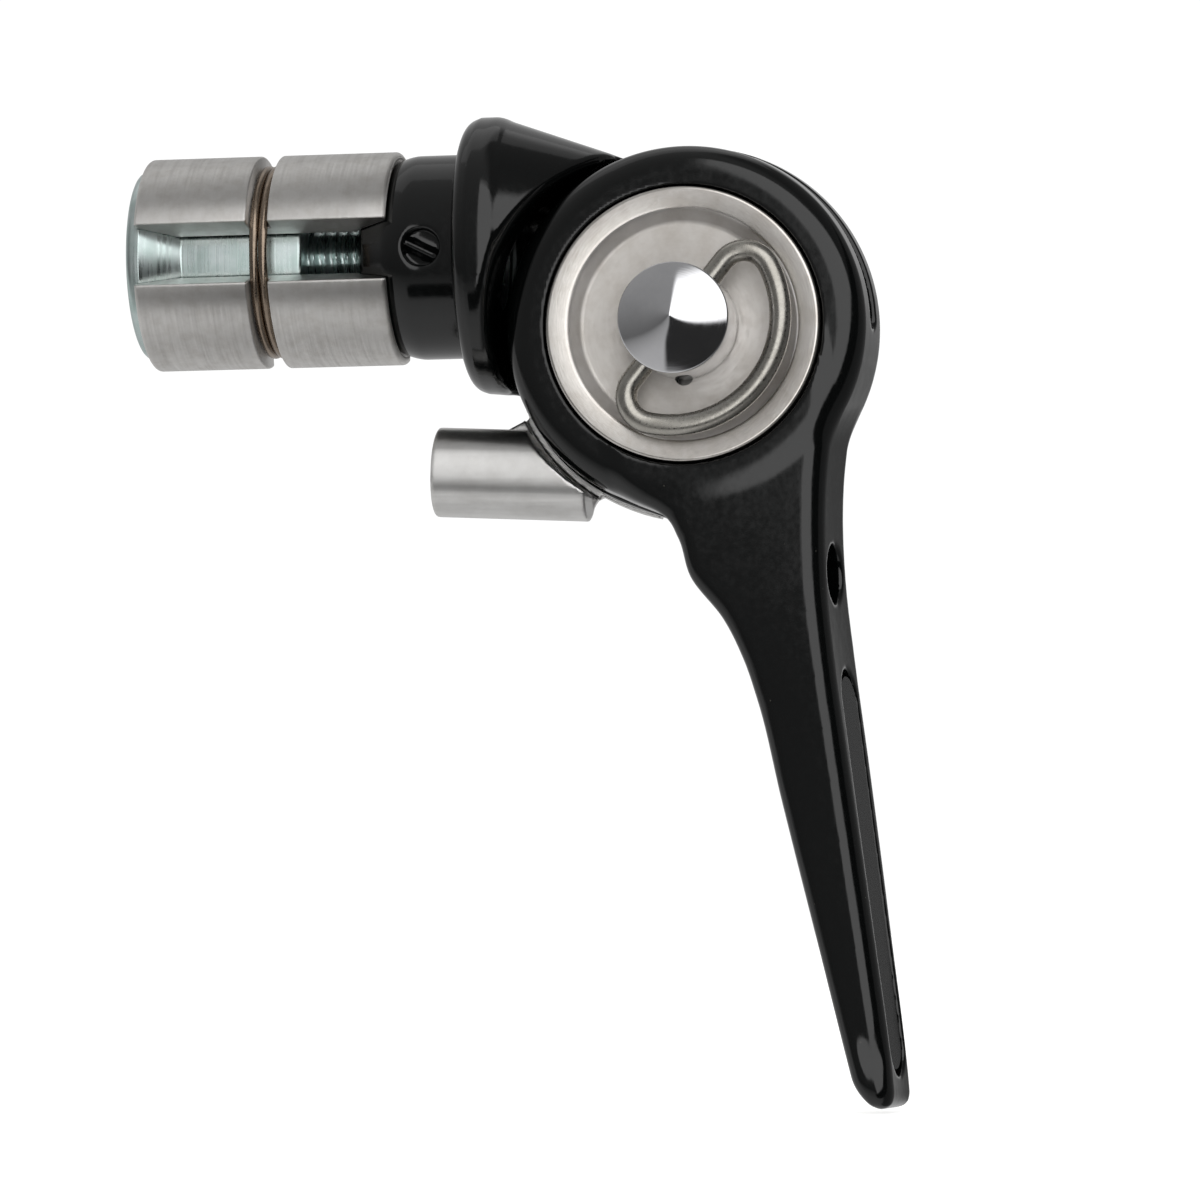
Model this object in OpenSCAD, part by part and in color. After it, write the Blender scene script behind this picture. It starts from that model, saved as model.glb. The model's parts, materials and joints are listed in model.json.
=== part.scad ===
// Bar-end shift lever: a friction lever on a pod, held in the end of a handlebar by an expander plug.
// Origin: centre of the pod's shoulder face, which butts against the bar's end, on the plug's axis.
// +X points away from the bar, +Z is up, and the pivot lies along Y with its screw head towards -Y.

/* [Expander plug] */
// Outer radius of the closed segments
plug_r = 9.25; // [9:0.05:9.5]
// Length of the segments
plug_len = 22; // [20:0.5:24]
// Half angle of the two expander cones
cone_angle = 36; // [34:1:38]
// Angle that each segment spans
segment_span = 91; // [90.5:0.5:92]
// Width of the slot that faces the front
front_slot = 33; // [30:1:34]
// Radius of the segments' bore
segment_bore_r = 6.2; // [6.1:0.05:6.4]
// Radius of the flared mouth at each end of the segments
flare_r = 8.5; // [8.4:0.05:8.6]
// Wire diameter of the retaining spring
ring_wire = 0.8; // [0.6:0.1:0.9]

/* [Expander bolt] */
// Thread's major diameter
bolt_d = 6; // [6:1:6]
// Thread pitch
bolt_pitch = 1; // [1:0.25:1]
// Diameter of the bolt's head
bolt_head_d = 10; // [9.5:0.1:10]
// Hexagon socket across flats
bolt_hex = 5; // [4:1:5]

/* [Pod] */
// Radius of the neck that enters the bar
neck_r = 8.84; // [8.6:0.02:8.9]
// Radius of the shoulder flange
flange_r = 11.9; // [11.7:0.1:12.1]
// Pivot axis along X
pivot_x = 19.6; // [19.4:0.1:19.8]
// Pivot axis along Z
pivot_z = -7.3; // [-7.5:0.1:-7.1]
// Radius of the scoop that clears the lever's hub
scoop_r = 16.8; // [16.7:0.1:17]
// Radius of the arm's round corners behind the hub
arm_r = 8; // [7:0.1:9]
// How far the arm's upper corner stands above the pivot
arm_rise = 4.9; // [4:0.1:6]
// Thickness of the arm
arm_t = 8.3; // [7.5:0.1:8.5]

/* [Lever] */
// Radius of the hub at its front face
hub_front_r = 15.2; // [15:0.1:15.3]
// Radius of the hub at its back face, after the draft of the forging
hub_back_r = 16; // [15.8:0.1:16.1]
// Length of the finger from the pivot axis to its tip
finger_len = 66.8; // [66:0.2:67]
// Draft of the finger's outer side
side_draft = 9; // [8:1:10]
// Diameter of the hole in the finger's outer side
side_hole_d = 5; // [4.5:0.1:5.2]
// Length of the inlay plate
inlay_len = 33.5; // [33:0.5:34]
// Width of the inlay plate
inlay_w = 4.8; // [4.6:0.1:5]
// Radius of the cable drum under the groove
drum_r = 12; // [12:0.1:12.2]
// Swing of the lever from slack to full pull
lever_swing = 110; // [90:5:110]

/* [Cable stop] */
// Radius of the barrel
barrel_r = 3.85; // [3.8:0.05:3.9]
// Radius of the bore for the cable housing
housing_r = 2.6; // [2.5:0.05:2.7]
// Tilt of the barrel
barrel_tilt = 3; // [2:1:4]

/* [Pivot fittings] */
// Radius of the cover cap
cap_r = 11.7; // [11.6:0.05:11.75]
// Radius of the screw's head
head_r = 4.7; // [4.6:0.05:4.8]
// Thread diameter of the pivot screw
screw_d = 5; // [5:1:5]
// Wire diameter of the D-ring
d_wire = 1.85; // [1.7:0.05:1.9]
// Radius of the D-ring's arc
d_ring_r = 9.2; // [9:0.05:9.4]
// Distance from the pivot to the middle of each of the D-ring's bends
d_bend_x = 6.3; // [6.1:0.05:6.4]
// Angle of the D-ring's hinge line above +X
d_angle = 51.3; // [45:0.1:60]

/* [Hidden] */
$fn = 96;
big = 60;
cone_slope = tan(cone_angle);

// Expander plug, all along X
segment_x1 = -6.1;
segment_x0 = segment_x1 - plug_len;
segment_chamfer = 0.45;
side_slot = (360 - 3 * segment_span - front_slot) / 2;
flare_len = (flare_r - segment_bore_r) / cone_slope;
cone_gap = 0.1;
groove_x = segment_x0 + 10.8;
groove_w = 1.9;
groove_floor_r = 7.55;
ring_r = groove_floor_r + 0.05 + ring_wire / 2;
nut_rim_r = 8.2;
nut_x0 = -29;
nut_stem_r = 5.85;
nut_x1 = -14;
nut_cone_x0 = segment_x0 + (flare_r - cone_gap - nut_rim_r) / cone_slope;
nut_cone_x1 = segment_x0 + (flare_r - cone_gap - nut_stem_r) / cone_slope;
bolt_r = bolt_d / 2;
thread_depth = 0.38;
bolt_run = 0.05;
bolt_end_x = -24;
bolt_seat_x = -3.5;
bolt_head_h = 6;
bolt_head_r = bolt_head_d / 2;
bolt_washer_t = 1;
thread_start_x = -6.5;

// Pod
cone_tip_x = -8.8;
pod_cone_tip_r = flare_r - (segment_x1 - cone_tip_x) * cone_slope - cone_gap;
pod_cone_end_x = segment_x1 + (neck_r + cone_gap - flare_r) / cone_slope;
flange_t = 3.5;
flange_edge = 1.6;
counterbore_r = bolt_head_r + 0.3;
arm_y0 = 1.2;
arm_y1 = arm_y0 + arm_t;
dimple_x = -3;
dimple_r = 1.6;
dimple_depth = 1.2;

// Pivot stack, front to back along Y
apex_y = -17.3;
cone_base_y = -15;
flat_y = -8.7;
cap_t = 0.8;
hub_front_y = -9.3;
hub_back_y = -1;
cap_bore_y = -7.2;
spring_bore_y = -4.7;
rear_pocket_y = -1.7;
plate_y0 = -0.8;
boss_r = 5;
boss_front_y = -7;
boss_flat_y = -5.4;
boss_flats = 8;
boss_square = 12;
cap_bore_r = cap_r + 0.2;
spring_bore_r = 9.5;
seal_r = 0.35;
rear_pocket_r = 10;
run = 0.05;
seat = 0.02;
screw_r = screw_d / 2;
screw_end_y = 4;
d_y = -12.2;
d_wire_r = d_wire / 2;
d_bend_r = 2.27;
d_end = 1.2;
pin_angle = 200;
pin_r = 0.8;
stop_track_r = 12.9;
track_y0 = -2.6;
track_gap = 0.3;
track_end = (pin_r + 0.4) / stop_track_r * 180 / PI;

// Cable stop
barrel_x0 = -2.5;
barrel_x1 = 10.8;
barrel_y = -4.2;
barrel_z = -19;
saddle_r = 16.5;
plate_r = 14.6;
lobe_r = 16.2;
housing_depth = 8;
cable_hole_r = 1;

// Lever
groove_mid_y = -4.2;
groove_w_cable = 2.2;
groove_rim_r = 17.5;
tunnel_r = 14.4;
mouth_angle = -93;
anchor_angle = 80;
pocket_r = 12.2;
pocket_w = 4.6;
tip_z = pivot_z - finger_len;
tip_round = 3.2;
tip_inset = 1.4;
// The finger's left edge, as [z, x]
left_edge = [[-4, 19], [-18, 13], [-21.9, 15.2], [-23.6, 17.8], [-25.3, 18.8],
    [-28.8, 19.9], [-32.2, 22.5], [-35.7, 24.2], [-39.1, 25.3], [-47.6, 27.2], [-61.2, 30.4],
    [-71.3, 32.8], [-73, 33.4], [-74.1, 34.2]];
// The finger's right edge at its back, as [z, x]
right_edge = [[-4, 32], [-10, 33.2], [-13.6, 33.3], [-17, 32.9], [-20.4, 32.5],
    [-28.9, 32.4], [-35.8, 33], [-44.3, 34], [-57.9, 35.6], [-71.4, 37.1], [-74.1, 37.3]];
// The finger's back face, as [z, y]
back_edge = [[-4, -1], [-24, -1], [-34, 0.4], [-74.1, 0.2]];
// The finger's front face, as [z, y]
front_edge = [[-4, -9.3], [-30, -9.3], [-55, -8.3], [-74.1, -8.1]];
side_hole_z = -28.5;
side_hole_depth = 4.5;
inlay_z = -53.8;
inlay_t = 0.9;
inlay_gap = 0.15;

// Turns a shape made along Z so that it lies along +X
module along_x() { rotate([0, 90, 0]) children(); }
// Turns a shape made along Z so that it lies along +Y, on the pivot axis, angles read from +X to +Z
module on_pivot() { translate([pivot_x, 0, pivot_z]) rotate([-90, 0, 0]) mirror([0, 1, 0]) children(); }
// A disc on the pivot axis between two Y values
module disc(r, y0, y1) { on_pivot() translate([0, 0, y0]) cylinder(r = r, h = y1 - y0); }
// A flat washer on the pivot axis
module washer(r_out, r_in, y0, y1) {
    difference() {
        disc(r_out, y0, y1);
        disc(r_in, y0 - 1, y1 + 1);
    }
}
// A body turned on the pivot axis from points [r, y]
module turned(points) { on_pivot() rotate_extrude() polygon(points); }
// Points of a round edge: a quarter of a circle about [cr, cy] from angle a0 to a1
function arc(cr, cy, r, a0, a1, n = 8) =
    [for (i = [0:n]) let (a = a0 + (a1 - a0) * i / n) [cr + r * cos(a), cy + r * sin(a)]];

// ---------------------------------------------------------------- expander plug

// One third of the expanding sleeve, flared at both ends and grooved for the spring
module expander_segment(start) {
    color("silver") along_x() rotate_extrude(start = start, angle = segment_span) polygon([
        [flare_r, segment_x0],
        [plug_r - segment_chamfer, segment_x0],
        [plug_r, segment_x0 + segment_chamfer],
        [plug_r, groove_x - groove_w / 2],
        [groove_floor_r, groove_x - groove_w / 2],
        [groove_floor_r, groove_x + groove_w / 2],
        [plug_r, groove_x + groove_w / 2],
        [plug_r, segment_x1 - segment_chamfer],
        [plug_r - segment_chamfer, segment_x1],
        [flare_r, segment_x1],
        [segment_bore_r, segment_x1 - flare_len],
        [segment_bore_r, segment_x0 + flare_len]]);
}
// Where each segment starts, counted from the front slot, which faces -Y
segment_starts = [for (i = [0:2]) -90 + front_slot / 2 + i * (segment_span + side_slot)];

// Two turns of round wire that hold the segments together
module retaining_spring() {
    color("peru") along_x() for (side = [-1, 1])
        translate([0, 0, groove_x + side * ring_wire / 2]) rotate_extrude()
            translate([ring_r, 0]) circle(d = ring_wire, $fn = 24);
}

// The coned nut at the plug's far end, with turned steps on its cone
module expander_nut() {
    rim_edge = 0.5;
    color("lightsteelblue") along_x() rotate_extrude() polygon(concat(
        [[bolt_r + bolt_run, nut_x0], [nut_rim_r - rim_edge, nut_x0]],
        arc(nut_rim_r - rim_edge, nut_x0 + rim_edge, rim_edge, -90, 0, 6),
        [[nut_rim_r, nut_cone_x0], [nut_stem_r, nut_cone_x1], [nut_stem_r, nut_x1 - 0.4],
         [nut_stem_r - 0.4, nut_x1], [bolt_r + bolt_run, nut_x1]]));
}

// The M6 socket screw that draws the nut in; its thread is drawn as rings one pitch apart
module expander_bolt() {
    rings = floor((thread_start_x - bolt_end_x) / bolt_pitch) - 1;
    head_x1 = bolt_seat_x + bolt_head_h;
    color("lightsteelblue") difference() {
        along_x() rotate_extrude() polygon(concat(
            [[0, bolt_end_x], [bolt_r - 0.8, bolt_end_x], [bolt_r, bolt_end_x + 0.8]],
            [for (i = [0:rings - 1]) let (x = bolt_end_x + 1 + i * bolt_pitch) for (p = [
                [bolt_r, x], [bolt_r - thread_depth, x + 0.4 * bolt_pitch],
                [bolt_r - thread_depth, x + 0.5 * bolt_pitch], [bolt_r, x + 0.9 * bolt_pitch]]) p],
            [[bolt_r, bolt_seat_x], [bolt_head_r, bolt_seat_x], [bolt_head_r, head_x1 - 0.5],
             [bolt_head_r - 0.5, head_x1], [0, head_x1]]));
        along_x() translate([0, 0, head_x1 - 3]) cylinder(d = bolt_hex / cos(30), h = 4, $fn = 6);
    }
}

// The washer under the bolt's head
module bolt_washer() {
    color("silver") along_x() difference() {
        translate([0, 0, bolt_seat_x - bolt_washer_t]) cylinder(r = bolt_head_r + 0.1, h = bolt_washer_t);
        translate([0, 0, bolt_seat_x - 2]) cylinder(r = bolt_r + 0.2, h = 3);
    }
}

// ---------------------------------------------------------------- pod

// The neck and the shoulder flange, turned on the plug's axis
module pod_turned() {
    neck_edge = 1.2;
    along_x() rotate_extrude() polygon(concat(
        [[0, cone_tip_x], [pod_cone_tip_r, cone_tip_x], [neck_r - 0.3, pod_cone_end_x - 0.35]],
        [[neck_r, pod_cone_end_x + 0.25], [neck_r, 0], [flange_r - flange_edge, 0]],
        arc(flange_r - flange_edge, flange_edge, flange_edge, -90, 0),
        arc(flange_r - neck_edge, flange_t - neck_edge, neck_edge, 0, 90),
        [[0, flange_t]]));
}

// The pod: neck, shoulder and the arm that passes behind the hub, scooped out to clear the hub
module pod_body() {
    arm_edge = 2;
    color("#151718") difference() {
        union() {
            pod_turned();
            hull() {
                along_x() translate([0, 0, 1.5]) cylinder(r = flange_r - 0.15, h = 2, $fn = 64);
                for (rise = [0, arm_rise]) translate([0, 0, rise]) {
                    on_pivot() translate([0, 0, arm_y0]) cylinder(r = arm_r, h = arm_t - arm_edge, $fn = 64);
                    on_pivot() translate([0, 0, arm_y0]) cylinder(r = arm_r - arm_edge, h = arm_t, $fn = 64);
                }
            }
        }
        disc(scoop_r, -big, arm_y0);
        disc(boss_r + seat, 0, big);
        along_x() {
            translate([0, 0, bolt_seat_x - bolt_washer_t]) cylinder(r = counterbore_r, h = 9);
            translate([0, 0, -20]) cylinder(r = bolt_r + 0.15, h = 30);
        }
        translate([dimple_x, -neck_r - 1, 0]) rotate([-90, 0, 0])
            cylinder(r = dimple_r, h = 1 + dimple_depth);
    }
}

// The steel boss that the lever turns on: a square collar keys the cable stop, two flats key the plate
module pivot_boss() {
    color("gray") difference() {
        union() {
            disc(boss_r, boss_flat_y, arm_y1 - 0.5);
            intersection() {
                disc(boss_r, boss_front_y, boss_flat_y);
                translate([pivot_x - boss_r, boss_front_y, pivot_z - boss_flats / 2])
                    cube([2 * boss_r, boss_flat_y - boss_front_y, boss_flats]);
            }
            translate([pivot_x - boss_square / 2, plate_y0, pivot_z - boss_square / 2])
                cube([boss_square, arm_y0 - plate_y0, boss_square]);
        }
        disc(screw_r + run, boss_front_y - 1, screw_end_y + 1);
    }
}

// ---------------------------------------------------------------- cable stop

// Turns a shape made along Z onto the barrel's axis, from its left end
module on_barrel() { translate([barrel_x0, barrel_y, barrel_z]) rotate([0, 90 + barrel_tilt, 0]) children(); }

// The keyed plate behind the hub and the barrel that takes the end of the cable housing
module cable_stop() {
    barrel_len = (barrel_x1 - barrel_x0) / cos(barrel_tilt);
    web = 3.2;
    color("gainsboro") difference() {
        union() {
            disc(plate_r, plate_y0, arm_y0);
            on_pivot() translate([0, 0, plate_y0]) rotate_extrude(start = -162, angle = 60)
                translate([boss_square, 0]) square([lobe_r - boss_square, arm_y0 - plate_y0]);
            difference() {
                union() {
                    on_barrel() {
                        cylinder(r1 = barrel_r - 0.35, r2 = barrel_r, h = 0.35);
                        translate([0, 0, 0.35]) cylinder(r = barrel_r, h = barrel_len - 0.35);
                    }
                    translate([0, arm_y0, 0]) rotate([90, 0, 0]) linear_extrude(web) polygon([
                        [7.4, -9.9], [6, -13], [4.6, -14.6], [3, -15.4], [3, -19],
                        [barrel_x1 - 0.2, -21.5], [12.4, -20.6], [14, -22.1], [19, -12]]);
                }
                disc(saddle_r, -big, plate_y0);
            }
        }
        translate([pivot_x - boss_square / 2 - seat, plate_y0 - 1, pivot_z - boss_square / 2 - seat])
            cube([boss_square + 2 * seat, 6, boss_square + 2 * seat]);
        on_barrel() {
            translate([0, 0, -1]) cylinder(r = housing_r, h = housing_depth + 1);
            cylinder(r = cable_hole_r, h = 20);
        }
        on_pivot() rotate(pin_angle) translate([stop_track_r, 0, plate_y0 - 1])
            cylinder(r = pin_r + seat, h = 2.8);
    }
}

// The pin that ends the lever's swing, pressed in the cable stop's plate
module range_stop_pin() {
    color("silver") on_pivot() rotate(pin_angle) translate([stop_track_r, 0, -2.4]) cylinder(r = pin_r, h = 3.3);
}

// ---------------------------------------------------------------- lever

// One corner of a finger section: points of an arc about the corner's centre
function corner(x, y, r, a0) = [for (i = [0:5]) let (a = a0 + 90 * i / 5) [x + r * cos(a), y + r * sin(a)]];

// The finger's outline at height z, drawn in by inset; its outer side leans back with the draft
function finger_section(z, inset) = let (
        x0 = lookup(z, left_edge) + inset,
        x1 = lookup(z, right_edge) - inset,
        y0 = lookup(z, front_edge) + inset,
        y1 = lookup(z, back_edge) - inset,
        r0 = min(1.3, (x1 - x0) / 3, (y1 - y0) / 3),
        r1 = min(2, (x1 - x0) / 3, (y1 - y0) / 3))
    [for (p = concat(
        corner(x1 - r0, y1 - r0, r0, 0), corner(x0 + r0, y1 - r0, r0, 90),
        corner(x0 + r0, y0 + r0, r0, 180), corner(x1 - r1, y0 + r1, r1, 270)))
        let (lean = tan(side_draft) * (y1 - p[1]) * max(0, (p[0] - x0) / (x1 - x0)))
        [p[0] - lean, p[1], z]];

// The finger as one closed skin through its sections, from the hub to the rounded tip
module finger_skin() {
    upper = [for (z = [-4:-3:-16]) [z, 0.6]];
    middle = [for (z = [-18.5:-1:-25.5]) [z, 0.15]];
    lower = [for (z = [-27:-2:tip_z + tip_round]) [z, 0]];
    tip = [for (i = [0:6]) let (a = 84 * i / 6)
        [tip_z + tip_round * (1 - sin(a)), tip_inset * (1 - cos(a))]];
    levels = concat(upper, middle, lower, tip);
    rings = [for (l = levels) finger_section(l[0], l[1])];
    n = len(rings[0]);
    m = len(rings);
    polyhedron(
        points = [for (ring = rings) for (p = ring) p],
        faces = concat(
            [[for (j = [0:n - 1]) n - 1 - j]],
            [for (i = [0:m - 2]) for (j = [0:n - 1]) for (half = [0, 1]) let (k = (j + 1) % n)
                half == 0 ? [i * n + j, (i + 1) * n + k, (i + 1) * n + j]
                          : [i * n + j, i * n + k, (i + 1) * n + k]],
            [[for (j = [0:n - 1]) (m - 1) * n + j]]));
}

// Puts a shape made in X = depth, Y = width, Z = length on the finger's leaning outer side
module on_outer_side(z) {
    lean = atan((lookup(z - 15, right_edge) - lookup(z + 15, right_edge)) / 30);
    mid_y = (lookup(z, front_edge) + lookup(z, back_edge)) / 2 + 0.3;
    draft = (lookup(z, back_edge) - mid_y) * tan(side_draft);
    translate([lookup(z, right_edge) - draft, mid_y, z]) rotate([0, -lean, 0]) rotate([0, 0, -side_draft])
        children();
}

// A strip with round ends, sunk into the outer side from depth d0 to d1
module round_strip(length, width, d0, d1) {
    reach = length / 2 - width / 2;
    translate([-d1, 0, 0]) {
        for (s = [-1, 1]) translate([0, 0, s * reach]) rotate([0, 90, 0]) cylinder(d = width, h = d1 - d0);
        translate([0, -width / 2, -reach]) cube([d1 - d0, width, 2 * reach]);
    }
}

// One stretch of the cable's groove, from the drum out to radius r
module cable_groove(start, angle, r) {
    on_pivot() translate([0, 0, groove_mid_y - groove_w_cable / 2]) rotate_extrude(start = start, angle = angle)
        translate([drum_r, 0]) square([r - drum_r, groove_w_cable]);
}

// The lever: hub, finger, cable groove, pocket for the cable's end and the track of the stop pin
module lever() {
    front_edge_r = 2;
    back_edge_r = 0.5;
    color("#151718") difference() {
        union() {
            turned(concat(
                [[0, hub_front_y], [hub_front_r - front_edge_r, hub_front_y]],
                arc(hub_front_r - front_edge_r, hub_front_y + front_edge_r, front_edge_r, -90, 0),
                [[hub_back_r, hub_back_y - back_edge_r], [hub_back_r - back_edge_r, hub_back_y], [0, hub_back_y]]));
            finger_skin();
        }
        disc(cap_bore_r, -big, cap_bore_y);
        disc(spring_bore_r, -big, spring_bore_y);
        disc(6.5 + seat, -big, 5);
        disc(rear_pocket_r, rear_pocket_y, 5);
        // cable groove: open at the left and over the top, and a tunnel through the finger's root
        cable_groove(mouth_angle - lever_swing - 0.5, lever_swing, groove_rim_r);
        cable_groove(mouth_angle - 1, 1 - mouth_angle, tunnel_r);
        cable_groove(-0.5, anchor_angle, groove_rim_r);
        // pocket for the barrel on the cable's end
        on_pivot() rotate(anchor_angle) translate([pocket_r, -3, groove_mid_y - pocket_w / 2])
            cube([6, 6, pocket_w]);
        // track of the stop pin
        on_pivot() translate([0, 0, track_y0])
            rotate_extrude(start = pin_angle - lever_swing - track_end, angle = lever_swing + 2 * track_end)
                translate([stop_track_r - pin_r - track_gap, 0]) square([2 * (pin_r + track_gap), 4]);
        on_outer_side(side_hole_z) translate([-side_hole_depth, 0, 0]) rotate([0, 90, 0])
            cylinder(d = side_hole_d, h = side_hole_depth + 3);
        on_outer_side(inlay_z) round_strip(inlay_len + 1.2, inlay_w + 2 * inlay_gap, -3, inlay_t);
    }
}

// The plain plate let into the finger's outer side
module lever_inlay() {
    color("#3a3d40") on_outer_side(inlay_z) round_strip(inlay_len, inlay_w, 0.15, inlay_t);
}

// The bushing that the hub turns on
module hub_bushing() { color("darkgoldenrod") washer(6.5, boss_r + run, spring_bore_y, rear_pocket_y); }

// ---------------------------------------------------------------- pivot fittings

module rear_friction_washer() { color("#202020") washer(9.7, 6, -1.65, plate_y0); }
module front_friction_washer() { color("#202020") washer(9.2, boss_r + 0.3, -5.4, spring_bore_y - 0.05); }

// The steel plate that presses on the lever and is kept from turning by the boss's flats
module pressure_plate() {
    y0 = -6.15;
    y1 = -5.4;
    color("silver") difference() {
        disc(9.2, y0, y1);
        intersection() {
            disc(boss_r + 0.1, y0 - 1, y1 + 1);
            translate([pivot_x - boss_r - 1, y0 - 1, pivot_z - boss_flats / 2 - 0.1])
                cube([2 * boss_r + 2, 3, boss_flats + 0.2]);
        }
    }
}

// A coned spring washer between two Y values, wide end at wide_y
module coned_washer(narrow_y, wide_y, thick) {
    side = sign(narrow_y - wide_y);
    color("dimgray") turned([[boss_r + 0.3, narrow_y - side * thick], [8.8, wide_y],
        [8.8, wide_y + side * thick], [boss_r + 0.3, narrow_y]]);
}
module coned_washer_inner() { coned_washer(-7, -6.17, 0.4); }
module coned_washer_outer() { coned_washer(-7.02, -7.87, 0.4); }

// The dished cap: a sunk flat, a raised round rim and a key notch beside the screw's hole
module cover_cap() {
    edge = 0.35;
    rim_y = -9.75;
    skirt_y = -8;
    dish = [[8.6, flat_y], [9, flat_y - 0.08], [9.4, flat_y - 0.35], [9.8, flat_y - 0.68], [10.2, flat_y - 0.9],
        [10.7, flat_y - 1.02], [11.2, rim_y]];
    color("lightgray") difference() {
        turned(concat([[0, flat_y]], dish,
            arc(cap_r - edge, rim_y + edge, edge, -90, 0, 6),
            [[cap_r, skirt_y], [cap_r - cap_t, skirt_y], [cap_r - cap_t, rim_y + cap_t], [10.1, flat_y - 0.1],
             [9.4, flat_y + 0.35], [8.8, flat_y + cap_t], [0, flat_y + cap_t]]));
        disc(screw_r + 0.3, -big, 0);
        disc(3.8, flat_y - 1, flat_y + 0.4);
        translate([pivot_x - 0.8, flat_y - 2, pivot_z - 5.2]) cube([1.6, 4, 5.2]);
    }
}

// The rubber ring between the cap's rim and the hub
module seal_ring() {
    color("#101010") on_pivot() translate([0, 0, cap_bore_y - seal_r - 0.05]) rotate_extrude()
        translate([11.3, 0]) circle(r = seal_r, $fn = 24);
}

// The thin washer let into the cap under the screw's head
module screw_washer() { color("whitesmoke") washer(3.7, screw_r + 0.2, flat_y, flat_y + 0.38); }

// The tension screw: a coned head, cross-drilled for the D-ring, on a threaded shank
module pivot_screw() {
    edge = 0.25;
    color("gainsboro") difference() {
        turned([[0, apex_y], [head_r - edge, cone_base_y - 0.12], [head_r, cone_base_y + edge],
            [head_r, flat_y - 0.3], [head_r - 0.3, flat_y], [screw_r, flat_y], [screw_r, screw_end_y - 0.5],
            [screw_r - 0.5, screw_end_y], [0, screw_end_y]]);
        on_pivot() rotate(d_angle) translate([0, 0, d_y]) rotate([0, 90, 0])
            cylinder(r = d_wire_r + 0.06, h = 20, center = true);
    }
}

// Points [x, y, heading] along the D-ring's bent stretch, from one straight end to the other
function d_path(arc_y, meet) = concat(
    [for (i = [0:6]) let (a = 90 - (90 + meet) * i / 6)
        [d_bend_x + d_bend_r * cos(a), -d_bend_r + d_bend_r * sin(a), a - 90]],
    [for (i = [1:27]) let (a = -meet - (180 - 2 * meet) * i / 28)
        [d_ring_r * cos(a), arc_y + d_ring_r * sin(a), a - 90]],
    [for (i = [0:6]) let (a = 180 + meet - (90 + meet) * i / 6)
        [-d_bend_x + d_bend_r * cos(a), -d_bend_r + d_bend_r * sin(a), a - 90]]);

// Round wire swept along points [x, y, heading] in one plane
module swept_wire(path, r, sides = 16) {
    m = len(path);
    polyhedron(
        points = [for (p = path) for (j = [0:sides - 1]) let (a = 360 * j / sides)
            [p[0] - r * cos(a) * sin(p[2]), p[1] + r * cos(a) * cos(p[2]), r * sin(a)]],
        faces = concat(
            [[for (j = [0:sides - 1]) j]],
            [for (i = [0:m - 2]) for (j = [0:sides - 1]) for (half = [0, 1]) let (k = (j + 1) % sides)
                half == 0 ? [i * sides + j, (i + 1) * sides + k, i * sides + k]
                          : [i * sides + j, (i + 1) * sides + j, (i + 1) * sides + k]],
            [[for (j = [0:sides - 1]) (m - 1) * sides + sides - 1 - j]]));
}

// The D-ring: two ends in the head's cross hole, two small bends and the wide arc
module d_ring() {
    // the arc's middle lies where the arc runs smoothly into both bends
    arc_y = sqrt(pow(d_ring_r - d_bend_r, 2) - pow(d_bend_x, 2)) - d_bend_r;
    meet = atan2(d_bend_r + arc_y, d_bend_x);
    lap = 0.4;
    color("silver") on_pivot() rotate(d_angle) translate([0, 0, d_y]) {
        swept_wire(concat([[d_bend_x - lap, 0, 0]], d_path(arc_y, meet), [[lap - d_bend_x, 0, 0]]), d_wire_r - 0.01);
        for (s = [0, 180]) rotate(s) translate([d_end, 0, 0]) rotate([0, 90, 0])
            cylinder(r = d_wire_r, h = d_bend_x - d_end);
    }
}

expander_nut();
expander_segment(segment_starts[0]);  // expander_segment_1
expander_segment(segment_starts[1]);  // expander_segment_2
expander_segment(segment_starts[2]);  // expander_segment_3
retaining_spring();
expander_bolt();
bolt_washer();
pod_body();
pivot_boss();
cable_stop();
range_stop_pin();
rear_friction_washer();
lever();
lever_inlay();
hub_bushing();
front_friction_washer();
pressure_plate();
coned_washer_inner();
coned_washer_outer();
cover_cap();
seal_ring();
screw_washer();
pivot_screw();
d_ring();
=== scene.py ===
"""Bar-end shift lever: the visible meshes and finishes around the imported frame.

Shapes are worked out in millimetres in the row frame and turned to metres when a mesh is made.
"""

import json
import logging
import math
from collections.abc import Callable, Sequence
from dataclasses import dataclass, field
from enum import Enum

import bmesh
import bpy
import numpy as np
from mathutils import Matrix, Vector


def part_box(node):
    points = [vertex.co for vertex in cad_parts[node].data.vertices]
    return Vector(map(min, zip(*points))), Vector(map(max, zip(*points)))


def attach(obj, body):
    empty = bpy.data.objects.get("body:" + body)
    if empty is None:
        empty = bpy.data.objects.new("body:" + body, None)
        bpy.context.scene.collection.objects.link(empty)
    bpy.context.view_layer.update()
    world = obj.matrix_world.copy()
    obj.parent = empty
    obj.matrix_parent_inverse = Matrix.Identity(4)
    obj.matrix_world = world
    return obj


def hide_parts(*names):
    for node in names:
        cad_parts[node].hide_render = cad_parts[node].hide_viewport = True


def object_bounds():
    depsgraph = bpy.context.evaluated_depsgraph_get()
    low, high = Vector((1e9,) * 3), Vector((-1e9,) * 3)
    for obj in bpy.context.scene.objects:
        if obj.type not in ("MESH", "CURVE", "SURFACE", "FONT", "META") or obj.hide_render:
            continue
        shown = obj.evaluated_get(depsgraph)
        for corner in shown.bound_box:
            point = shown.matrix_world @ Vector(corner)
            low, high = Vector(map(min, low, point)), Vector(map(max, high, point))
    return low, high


LOG = logging.getLogger("bar_end_lever")
MM = 0.001
Array = np.ndarray
Socket = bpy.types.NodeSocket

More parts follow.
